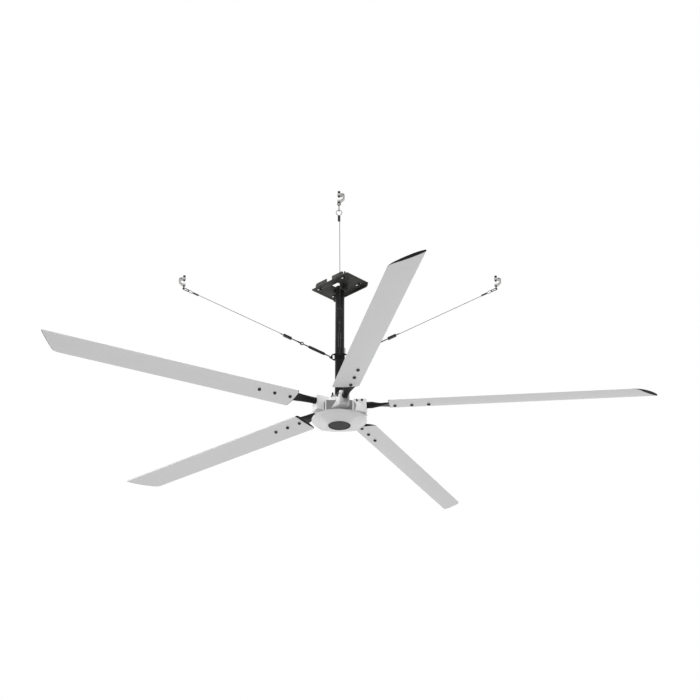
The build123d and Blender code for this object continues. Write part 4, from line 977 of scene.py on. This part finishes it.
@dataclass
class GuyLine:
    """One guy line from the ring on the rod to its beam clamp.

    The other fields are the sizes of its fittings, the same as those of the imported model.

    Attributes:
        number: Number of the line.
        azimuth: Azimuth of the line, in degrees.
    """

    number: int
    azimuth: float
    ring_radius: float = 59 * MM
    ring_level: float = -558.5 * MM
    clamp_reach: float = 1100 * MM
    anchor_level: float = -21.5 * MM
    strand_offset: float = 4 * MM
    body_start: float = 48 * MM
    body_length: float = 128 * MM
    rod_radius: float = 4 * MM
    rod_pitch: float = 1.25 * MM
    thread_show: float = 22 * MM
    eye_reach: float = 52 * MM
    eye_hole: float = 6.5 * MM
    crown_play: float = 0.7 * MM
    crown_radius: float = 10 * MM
    thimble_wall: float = 1.2 * MM
    thimble_gap: float = 0.05 * MM
    lower_loop_length: float = 68 * MM
    gripper_length: float = 64 * MM
    tail_length: float = 26 * MM
    link_pitch: float = 36 * MM
    upper_loop_radius: float = 18.5 * MM
    upper_loop_length: float = 21.5 * MM
    ferrule_length: float = 42 * MM
    rope: WireRope = field(default_factory=WireRope)

    def __post_init__(self) -> None:
        """Work out the directions and the places along the line."""
        out = polar(1, self.azimuth)
        start = polar(self.ring_radius, self.azimuth, self.ring_level)
        end = polar(self.clamp_reach, self.azimuth, self.anchor_level)
        self.start = start
        self.length = (end - start).length
        self.ahead = (end - start).normalized()
        self.aside = UP.cross(out)
        self.above = self.ahead.cross(self.aside)
        self.body_end = self.body_start + self.body_length
        thimble_inner = self.crown_radius - self.rope.diameter / 2 - self.thimble_gap - self.thimble_wall
        eye_centre = self.body_end + self.eye_reach
        self.crown_centre = eye_centre + self.eye_hole - self.crown_play + thimble_inner
        self.gripper_end = self.crown_centre + self.lower_loop_length + self.gripper_length
        self.upper_centre = self.length - self.link_pitch - self.upper_loop_radius
        self.ferrule_start = self.upper_centre - self.upper_loop_length - self.ferrule_length

    def point(self, along: float, aside: float = 0.0) -> Vector:
        """Return the point at a distance along the line and to its side."""
        return self.start + self.ahead * along + self.aside * aside

    def loop_path(self, centre: float, radius: float, reach: float, way: float) -> list[Vector]:
        """Return the line of a wire loop, from one strand end round the crown to the other.

        Args:
            centre: Distance of the crown's centre along the line.
            radius: Radius of the crown.
            reach: Distance from the crown's centre to the strand ends.
            way: 1 where the strand ends lie further along the line, else -1.

        Returns:
            Points of the loop.
        """
        offset = self.strand_offset
        bend = (reach**2 + offset**2 - radius**2) / (2 * (radius - offset))
        angle = math.atan2(offset + bend, reach)
        spans = (
            (reach, offset + bend, bend, 1.5 * math.pi, angle - math.pi / 2),
            (0.0, 0.0, radius, angle, math.tau - 2 * angle),
            (reach, -offset - bend, bend, math.pi - angle, angle - math.pi / 2),
        )
        points = []
        for x, y, arc_radius, first, sweep in spans:
            steps = max(6, round(abs(sweep) * arc_radius / (1.2 * MM)))
            for step in range(steps + 1):
                turn = first + sweep * step / steps
                place = self.point(
                    centre + way * (x + arc_radius * math.cos(turn)), y + arc_radius * math.sin(turn)
                )
                if not points or (place - points[-1]).length > MERGE_DISTANCE:
                    points.append(place)
        return points

    def build_wire(self, material: bpy.types.Material) -> None:
        """Args:
            material: Finish of the rope.
        """
        near, far = self.gripper_end, self.ferrule_start
        lead = 6 * self.rope.diameter
        stops = (near, near + lead, far - lead, far)
        controls = [self.point(stop, self.strand_offset) for stop in stops]
        name = f"guy_wire_rope_{self.number}"
        path = curve_points(name, controls, 24)
        wire = bpy.data.objects.new(name, self.rope.mesh(name, [path]))
        wire.data.materials.append(material)
        wire.data.shade_smooth()
        bpy.context.scene.collection.objects.link(wire)
        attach(wire, Body.FRAME.value)
        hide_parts(f"guy_wire_{self.number}")
        LOG.info("%s: %.4f m", name, far - near)

    def add_threads(self, shape: Shape) -> None:
        """Add the threads that show on the rods of hook and eye.

        Args:
            shape: Mesh in the making.
        """
        place = local_place(self.start, self.aside, self.ahead)
        outer = self.rod_radius + 0.25 * MM
        for near in (self.body_start - self.thread_show, self.body_end - self.rod_pitch):
            shape.thread(outer, self.rod_pitch, (near, near + self.thread_show), place)

    def loop_paths(self) -> list[list[Vector]]:
        """Return the lines of the lower loop, the upper loop and the tail."""
        return [
            self.loop_path(self.crown_centre, self.crown_radius, self.lower_loop_length, 1),
            self.loop_path(self.upper_centre, self.upper_loop_radius, self.upper_loop_length, -1),
            [
                self.point(self.gripper_end, -self.strand_offset),
                self.point(self.gripper_end + self.tail_length, -self.strand_offset),
            ],
        ]


@dataclass
class GuySystem:
    """The four guy lines with their ropes and threads."""

    azimuths: tuple[float, ...] = (45.0, 135.0, 225.0, 315.0)
    facings: tuple[float, ...] = (45.0, 45.0, 225.0, 45.0)

    def build(self, palette: dict[Slot | Tone, bpy.types.Material]) -> None:
        """Make the wires, the rope loops, the rods' threads and the clamps' screws.

        Args:
            palette: Materials by slot and added tone.
        """
        lines = [GuyLine(number, azimuth) for number, azimuth in enumerate(self.azimuths, start=1)]
        for line in lines:
            line.build_wire(palette[Slot.ROPE])
        threads = Shape()
        hardware = Hardware(palette)
        for line, facing in zip(lines, self.facings):
            line.add_threads(threads)
            hardware.clamp_screw(line.number, line.azimuth, facing, line.clamp_reach)
        threads.finish("rod_threads", palette[Slot.FASTENER], Body.FRAME.value, Slot.FASTENER)
        paths = [path for line in lines for path in line.loop_paths()]
        loops = bpy.data.objects.new("rope_loops", lines[0].rope.mesh("rope_loops", paths))
        loops.data.materials.append(palette[Slot.ROPE])
        loops.data.shade_smooth()
        bpy.context.scene.collection.objects.link(loops)
        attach(loops, Body.FRAME.value)
        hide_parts("wire_loops")


@dataclass(frozen=True)
class Lamp:
    """One soft square lamp, placed from the studio's aim.

    Attributes:
        name: Name of the lamp.
        right: Distance to the camera's right.
        ahead: Distance away from the camera.
        above: Height.
        size: Length of its sides.
        power: Power in watts.
    """

    name: str
    right: float
    ahead: float
    above: float
    size: float
    power: float


@dataclass
class Studio:
    """Camera, lamps, backdrop and floor.

    Attributes:
        camera_place: Place of the camera.
        camera_azimuth: Direction that the camera looks to, in degrees.
        camera_pitch: Rise of the camera's view, in radians.
        camera_roll: Roll of the camera, in radians.
        lens: Focal length in millimetres on a 36 mm sensor.
        world_light: Strength of the even light from all sides.
        floor_level: Height of the floor.
        floor_size: Length of the floor's sides.
        aim: Place that the lamps point at.
        lamps: The lamps.
    """

    camera_place: tuple[float, float, float] = (6.6604, -6.5598, -5.1914)
    camera_azimuth: float = 135.0
    camera_pitch: float = 0.4648
    camera_roll: float = 0.0009
    lens: float = 77.955
    world_light: float = 0.12
    floor_level: float = -13.0
    floor_size: float = 60.0
    aim: tuple[float, float, float] = (0.0, 0.0, -0.7)
    lamps: tuple[Lamp, ...] = (
        Lamp("left_lamp", -6, 0.6, 0.5, 4.0, 300),
        Lamp("right_lamp", 6, 0.6, 0.5, 4.0, 280),
        Lamp("top_lamp", 0, 0.2, 6, 5.0, 320),
        Lamp("low_lamp", 0, 0.5, -7, 6.0, 340),
        Lamp("front_lamp", 0, -6, 2.0, 4.0, 220),
    )

    def build(self) -> None:
        """Set up everything round the fan."""
        self._camera()
        self._world()
        self._floor()
        self._lamps()
        bpy.context.scene.view_settings.view_transform = "Standard"

    def _camera(self) -> None:
        """Place the camera of the photograph."""
        data = bpy.data.cameras.new("photo_camera")
        data.sensor_width = 36.0
        data.lens = self.lens
        data.clip_start = 0.1
        data.clip_end = 200.0
        camera = bpy.data.objects.new("photo_camera", data)
        bpy.context.scene.collection.objects.link(camera)
        turn = Matrix.Rotation(math.radians(self.camera_azimuth - 90), 4, "Z")
        tilt = Matrix.Rotation(math.pi / 2 + self.camera_pitch, 4, "X")
        roll = Matrix.Rotation(self.camera_roll, 4, "Z")
        camera.matrix_world = Matrix.Translation(self.camera_place) @ turn @ tilt @ roll
        bpy.context.scene.camera = camera

    def _world(self) -> None:
        """Light the scene evenly and show white to the camera and in reflections."""
        world = bpy.data.worlds.new("studio")
        bpy.context.scene.world = world
        world.use_nodes = True
        tree = world.node_tree
        light = tree.nodes["Background"]
        light.inputs["Color"].default_value = (1, 1, 1, 1)
        light.inputs["Strength"].default_value = self.world_light
        white = tree.nodes.new("ShaderNodeBackground")
        white.inputs["Color"].default_value = (1, 1, 1, 1)
        mix = tree.nodes.new("ShaderNodeMixShader")
        tree.links.new(self._seen(tree), mix.inputs[0])
        tree.links.new(light.outputs[0], mix.inputs[1])
        tree.links.new(white.outputs[0], mix.inputs[2])
        tree.links.new(mix.outputs[0], tree.nodes["World Output"].inputs["Surface"])

    @staticmethod
    def _seen(tree: bpy.types.NodeTree) -> bpy.types.NodeSocket:
        """Return a socket that is 1 for camera, glossy and transmission rays.

        Args:
            tree: Tree that gets the nodes.

        Returns:
            The socket.
        """
        path = tree.nodes.new("ShaderNodeLightPath")
        total = path.outputs["Is Camera Ray"]
        for kind in ("Is Glossy Ray", "Is Transmission Ray"):
            add = tree.nodes.new("ShaderNodeMath")
            add.operation = "ADD"
            add.use_clamp = True
            tree.links.new(total, add.inputs[0])
            tree.links.new(path.outputs[kind], add.inputs[1])
            total = add.outputs[0]
        return total

    def _floor(self) -> None:
        """Lay the pale floor far below the fan."""
        shape = bmesh.new()
        bmesh.ops.create_grid(shape, x_segments=1, y_segments=1, size=self.floor_size / 2)
        bmesh.ops.translate(shape, verts=shape.verts, vec=(0, 0, self.floor_level))
        data = bpy.data.meshes.new("floor")
        shape.to_mesh(data)
        shape.free()
        material = bpy.data.materials.new("pale_floor")
        material.use_nodes = True
        tree = material.node_tree
        paint = tree.nodes["Principled BSDF"]
        paint.inputs["Base Color"].default_value = (0.8, 0.8, 0.8, 1)
        paint.inputs["Roughness"].default_value = 0.9
        glow = tree.nodes.new("ShaderNodeEmission")
        mix = tree.nodes.new("ShaderNodeMixShader")
        tree.links.new(self._seen(tree), mix.inputs[0])
        tree.links.new(paint.outputs[0], mix.inputs[1])
        tree.links.new(glow.outputs[0], mix.inputs[2])
        tree.links.new(mix.outputs[0], tree.nodes["Material Output"].inputs["Surface"])
        data.materials.append(material)
        floor = bpy.data.objects.new("floor", data)
        bpy.context.scene.collection.objects.link(floor)

    def _lamps(self) -> None:
        """Hang the lamps, out of the reflections, where they would burn out the blades."""
        aim = Vector(self.aim)
        away = math.radians(self.camera_azimuth)
        ahead = Vector((math.cos(away), math.sin(away), 0))
        right = Vector((math.sin(away), -math.cos(away), 0))
        for lamp in self.lamps:
            place = aim + right * lamp.right + ahead * lamp.ahead + UP * lamp.above
            data = bpy.data.lights.new(lamp.name, "AREA")
            data.size = lamp.size
            data.energy = lamp.power
            light = bpy.data.objects.new(lamp.name, data)
            light.location = place
            light.rotation_euler = (aim - place).to_track_quat("-Z", "Y").to_euler()
            light.visible_glossy = False
            bpy.context.scene.collection.objects.link(light)


@dataclass
class Hardware:
    """Bolts, screws, nuts and threads, modelled in place of the plain ones.

    Attributes:
        palette: Materials by slot and added tone.
    """

    palette: dict[Slot | Tone, bpy.types.Material]
    plate_under: float = -6 * MM
    mount_half_x: float = 120 * MM
    mount_half_y: float = 72 * MM
    pivot_level: float = -30 * MM
    ear_outer: float = 41.25 * MM
    foot_top: float = -857.5 * MM
    foot_half: float = 33 * MM
    seat_level: float = -943.5 * MM
    socket_side: float = 36 * MM
    arm_bolt_rise: float = 36 * MM
    blade_pitch: float = 9.76
    clamp_top: float = 63.5 * MM
    arm_bolt_radii: tuple[float, ...] = (122 * MM, 157 * MM)
    blade_bolt_radii: tuple[float, ...] = (377 * MM, 491 * MM, 605 * MM)
    blade_seat_gap: float = 0.1 * MM
    screw_rise: float = 10 * MM

    def build(self) -> None:
        """Make every fastener."""
        self._mounting()
        self._pivot()
        self._foot()
        self._sockets()
        self._blades()

    def _finish(self, shape: Shape, name: str, body: Body, replaced: str) -> None:
        """Turn a shape into a piece of black hardware.

        Args:
            shape: Mesh in the making.
            name: Name of the piece.
            body: Body that carries it.
            replaced: Node that it stands for.
        """
        shape.finish(name, self.palette[Slot.FASTENER], body.value, Slot.FASTENER, [replaced])

    def _mounting(self) -> None:
        """Make the four bolts that stand up through the plate."""
        bolt = Bolt(12 * MM, 1.75 * MM, 48 * MM, 12 * MM, 19 * MM, 8 * MM, washer=(26 * MM, 2.5 * MM))
        shape = Shape()
        for x in (-self.mount_half_x, self.mount_half_x):
            for y in (-self.mount_half_y, self.mount_half_y):
                place = local_place(Vector((x, y, self.plate_under)), Vector((1, 0.4, 0)), -UP)
                shape.bolt(bolt, place)
        self._finish(shape, "mounting_bolt_set", Body.FRAME, "mounting_bolts")

    def _pivot(self) -> None:
        """Make the cross bolt with its washers and nut."""
        bolt = Bolt(16 * MM, 2 * MM, 104.5 * MM, 90 * MM, 24 * MM, 10 * MM, washer=(30 * MM, 3 * MM))
        nut = Bolt(16 * MM, 2 * MM, 0, 0, 24 * MM, 13 * MM, washer=(30 * MM, 3 * MM))
        shape = Shape()
        right = Vector((1, 0, 0))
        shape.bolt(bolt, local_place(Vector((self.ear_outer, 0, self.pivot_level)), UP, right))
        seat = local_place(Vector((-self.ear_outer, 0, self.pivot_level)), UP, -right)
        shape.washer(nut, seat)
        shape.head(nut, seat @ Matrix.Translation((0, 0, nut.washer[1])), both_ends=True)
        self._finish(shape, "cross_bolt_set", Body.FRAME, "pivot_bolt")

    def _foot(self) -> None:
        """Make the four studs of the foot with their nuts."""
        stud = Bolt(12 * MM, 1.75 * MM, 29 * MM, 8 * MM, 18 * MM, 10 * MM)
        shape = Shape()
        for x in (-self.foot_half, self.foot_half):
            for y in (-self.foot_half, self.foot_half):
                seat = Vector((x, y, self.foot_top))
                shape.head(stud, local_place(seat, Vector((1, 0.3, 0)), UP), both_ends=True)
                shape.rod(stud, 16.5 * MM, local_place(seat, Vector((1, 0, 0)), -UP))
        self._finish(shape, "foot_stud_set", Body.FRAME, "foot_bolts")

    def _sockets(self) -> None:
        """Make the two cross bolts in each socket of the hub."""
        bolt = Bolt(8 * MM, 1.25 * MM, 56 * MM, 56 * MM, 13 * MM, 7 * MM, washer=(16 * MM, 1.6 * MM))
        shape = Shape()
        for azimuth in BLADE_AZIMUTHS:
            out = polar(1, azimuth)
            away = out.cross(UP)
            for radius in self.arm_bolt_radii:
                seat = out * radius + away * self.socket_side + UP * (self.seat_level + self.arm_bolt_rise)
                shape.bolt(bolt, local_place(seat, out, away))
        self._finish(shape, "socket_bolt_set", Body.ROTOR, "arm_bolts")

    def _blades(self) -> None:
        """Make the three bolts under each blade."""
        bolt = Bolt(12 * MM, 1.75 * MM, 14 * MM, 14 * MM, 19 * MM, 7 * MM, washer=(24 * MM, 2 * MM))
        pitch = math.radians(self.blade_pitch)
        shape = Shape()
        for azimuth in BLADE_AZIMUTHS:
            out = polar(1, azimuth)
            down = UP.cross(out) * math.sin(pitch) - UP * math.cos(pitch)
            for radius in self.blade_bolt_radii:
                seat = out * radius + UP * self.seat_level + down * self.blade_seat_gap
                shape.bolt(bolt, local_place(seat, out, down))
        self._finish(shape, "blade_bolt_set", Body.ROTOR, "blade_bolts")

    def clamp_screw(self, number: int, azimuth: float, facing: float, reach: float) -> None:
        """Make the set screw of one clamp, which travels in it.

        Args:
            number: Number of the clamp.
            azimuth: Azimuth of the clamp, in degrees.
            facing: Azimuth that its back faces, in degrees.
            reach: Distance of the screw from the rod's axis.
        """
        screw = Bolt(12 * MM, 1.75 * MM, 36 * MM, 1 * MM, 17 * MM, 9 * MM, sides=4)
        shape = Shape()
        seat = polar(reach, azimuth, self.clamp_top + self.screw_rise)
        place = local_place(seat, polar(1, facing + 45), UP)
        shape.bolt(screw, place)
        body = f"clamp_screw_{number}"
        shape.finish(f"set_screw_{number}", self.palette[Tone.FITTING], body, Slot.ZINC, [body])


@dataclass
class Welds:
    """Weld beads under the ceiling plate, on the guy ring and round the rod's foot.

    Attributes:
        palette: Materials by slot and added tone.
    """

    palette: dict[Slot | Tone, bpy.types.Material]
    ear_inner: float = 33.25 * MM
    ear_outer: float = 41.25 * MM
    ear_half_width: float = 33 * MM
    plate_under: float = -6 * MM
    tube_radius: float = 31.75 * MM
    foot_top: float = -857.5 * MM
    ring_level: float = -558.5 * MM
    sleeve_outer: float = 36.35 * MM
    ring_inner: float = 54.6 * MM
    spoke_radius: float = 4 * MM

    @staticmethod
    def circle(centre: Vector, normal: Vector, radius: float, step: float) -> list[Vector]:
        """Return evenly spaced points of a circle.

        Args:
            centre: Centre of the circle.
            normal: Direction square to it.
            radius: Its radius.
            step: Wanted distance between two points.

        Returns:
            The points.
        """
        count = 3 * round(math.tau * radius / step / 3)
        side = normal.orthogonal().normalized()
        return [
            centre + Matrix.Rotation(math.tau * number / count, 3, normal) @ side * radius
            for number in range(count)
        ]

    def build(self) -> None:
        """Make the three sets of beads."""
        ears = Shape()
        count = 42
        for side in (-1, 1):
            for x, radius in ((self.ear_outer, 2.6 * MM), (self.ear_inner, 2.0 * MM)):
                path = [
                    Vector((side * x, self.ear_half_width * (2 * step / count - 1), self.plate_under))
                    for step in range(count + 1)
                ]
                ears.bead(path, UP, radius, False)
        plate = self.palette[Slot.PLATE]
        ears.finish("ear_welds", plate, Body.FRAME.value, Slot.PLATE, crease=80)
        rod = Shape()
        foot = Vector((0, 0, self.foot_top))
        rod.bead(self.circle(foot, UP, self.tube_radius, 1.8 * MM), UP, 3 * MM, True)
        for azimuth in (0, 90, 180, 270):
            out = polar(1, azimuth)
            for reach in (self.sleeve_outer, self.ring_inner):
                ring = self.circle(out * reach + UP * self.ring_level, out, self.spoke_radius, 0.8 * MM)
                rod.bead(ring, out, 1.3 * MM, True)
        black = self.palette[Slot.BLACK]
        rod.finish("rod_welds", black, Body.FRAME.value, Slot.BLACK, crease=80)


@dataclass
class Badge:
    """Bare round plate under the dome: a lighter disc inside a dark raised bezel.

    Attributes:
        palette: Materials by slot and added tone.
    """

    palette: dict[Slot | Tone, bpy.types.Material]
    radius: float = 75.9 * MM
    bezel_width: float = 9 * MM
    bezel_bevel: float = 1.2 * MM
    round_steps: int = 96

    def build(self) -> None:
        """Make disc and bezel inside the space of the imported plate."""
        low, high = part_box("badge_plate")
        thickness = high[2] - low[2]
        place = local_place(Vector((0, 0, high[2])), Vector((1, 0, 0)), -UP)
        inner = self.radius - self.bezel_width
        disc = Shape()
        disc.ring_steps = self.round_steps
        disc.turned(
            ((inner + 1 * MM, 0), (inner + 1 * MM, 0.5 * thickness), (0.6 * inner, 0.66 * thickness),
             (0.2 * inner, 0.74 * thickness)),
            place,
        )
        disc.finish("badge_disc", self.palette[Slot.BADGE], Body.ROTOR.value, Slot.BADGE, ["badge_plate"])
        rim = Shape()
        rim.ring_steps = self.round_steps
        rim.turned(
            ((inner, 0), (inner, 0.7 * thickness), (inner + self.bezel_bevel, thickness),
             (self.radius - self.bezel_bevel, thickness), (self.radius, 0.6 * thickness), (self.radius, 0)),
            place,
            loop=True,
        )
        rim.finish("badge_bezel", self.palette[Tone.BEZEL], Body.ROTOR.value, Slot.BADGE)


@dataclass
class Wardrobe:
    """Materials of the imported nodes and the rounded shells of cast, folded and moulded pieces.

    Attributes:
        frame: The loaded frame.
        palette: Materials by slot and added tone.
        effects: Shared shader groups.
    """

    frame: dict
    palette: dict[Slot | Tone, bpy.types.Material]
    effects: EffectLibrary
    core_apothem: float = 128 * MM
    panel_play: float = 0.4 * MM
    upright: float = 0.02

    def dress(self) -> None:
        """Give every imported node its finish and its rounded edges."""
        bodies = self.frame["record"]["behaviour"]["bodies"]
        carrier = {node: body for body, members in bodies.items() for node in members}
        for part in self.frame["record"]["subparts"]:
            name, slot = part["node"], Slot(part["material_slot"])
            node = self.frame["nodes"][name]
            material = self._material(name, slot)
            for place in node.material_slots:
                place.material = material
            radius = self._round_of(name)
            if radius:
                shape = Shape()
                shape.soften(node.data, radius)
                piece = shape.finish(f"{name}_shell", material, carrier[name], slot, [name])
                # The hub's core panels get a painted shade.
                if name == "hub_casting":
                    self._paint_panel_shade(piece.data)

    def _material(self, name: str, slot: Slot) -> bpy.types.Material:
        """Return the material of a node.

        Args:
            name: Name of the node.
            slot: Its material slot.

        Returns:
            The slot's material, or a blade's own, or the small fittings' darker one.
        """
        if name in DARK_FITTINGS:
            return self.palette[Tone.FITTING]
        if slot is Slot.BLADE:
            number = int(name.rsplit("_", 1)[1])
            return blade_finish(number, BLADE_AZIMUTHS[number - 1]).build(self.effects)
        return self.palette[slot]

    def _paint_panel_shade(self, mesh: bpy.types.Mesh) -> None:
        """Paint shade on the flat panels of the five sided core: a grey darker than the sockets that stands
        in for the shade they fall in.

        Args:
            mesh: Mesh of the hub's shell.
        """
        mesh.materials.append(self.palette[Tone.PANEL])
        for face in mesh.polygons:
            reach = face.normal.dot(face.center)
            if abs(face.normal.z) < self.upright and abs(reach - self.core_apothem) < self.panel_play:
                face.material_index = 1

    @staticmethod
    def _round_of(name: str) -> float:
        """Return the size of a node's rounded edges, or 0 where it keeps its own."""
        for stem, radius in EDGE_ROUNDS.items():
            if name.startswith(stem):
                return radius
        return 0.0


def main() -> None:
    """Build the scene piece by piece."""
    logging.basicConfig(level=logging.INFO, format="%(name)s: %(message)s")
    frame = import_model()
    Studio().build()
    effects = EffectLibrary()
    palette = {slot: finish.build(effects) for slot, finish in FINISHES.items()}
    GuySystem().build(palette)
    Hardware(palette).build()
    Welds(palette).build()
    Badge(palette).build()
    Wardrobe(frame, palette, effects).dress()


if __name__ == "__main__":
    main()
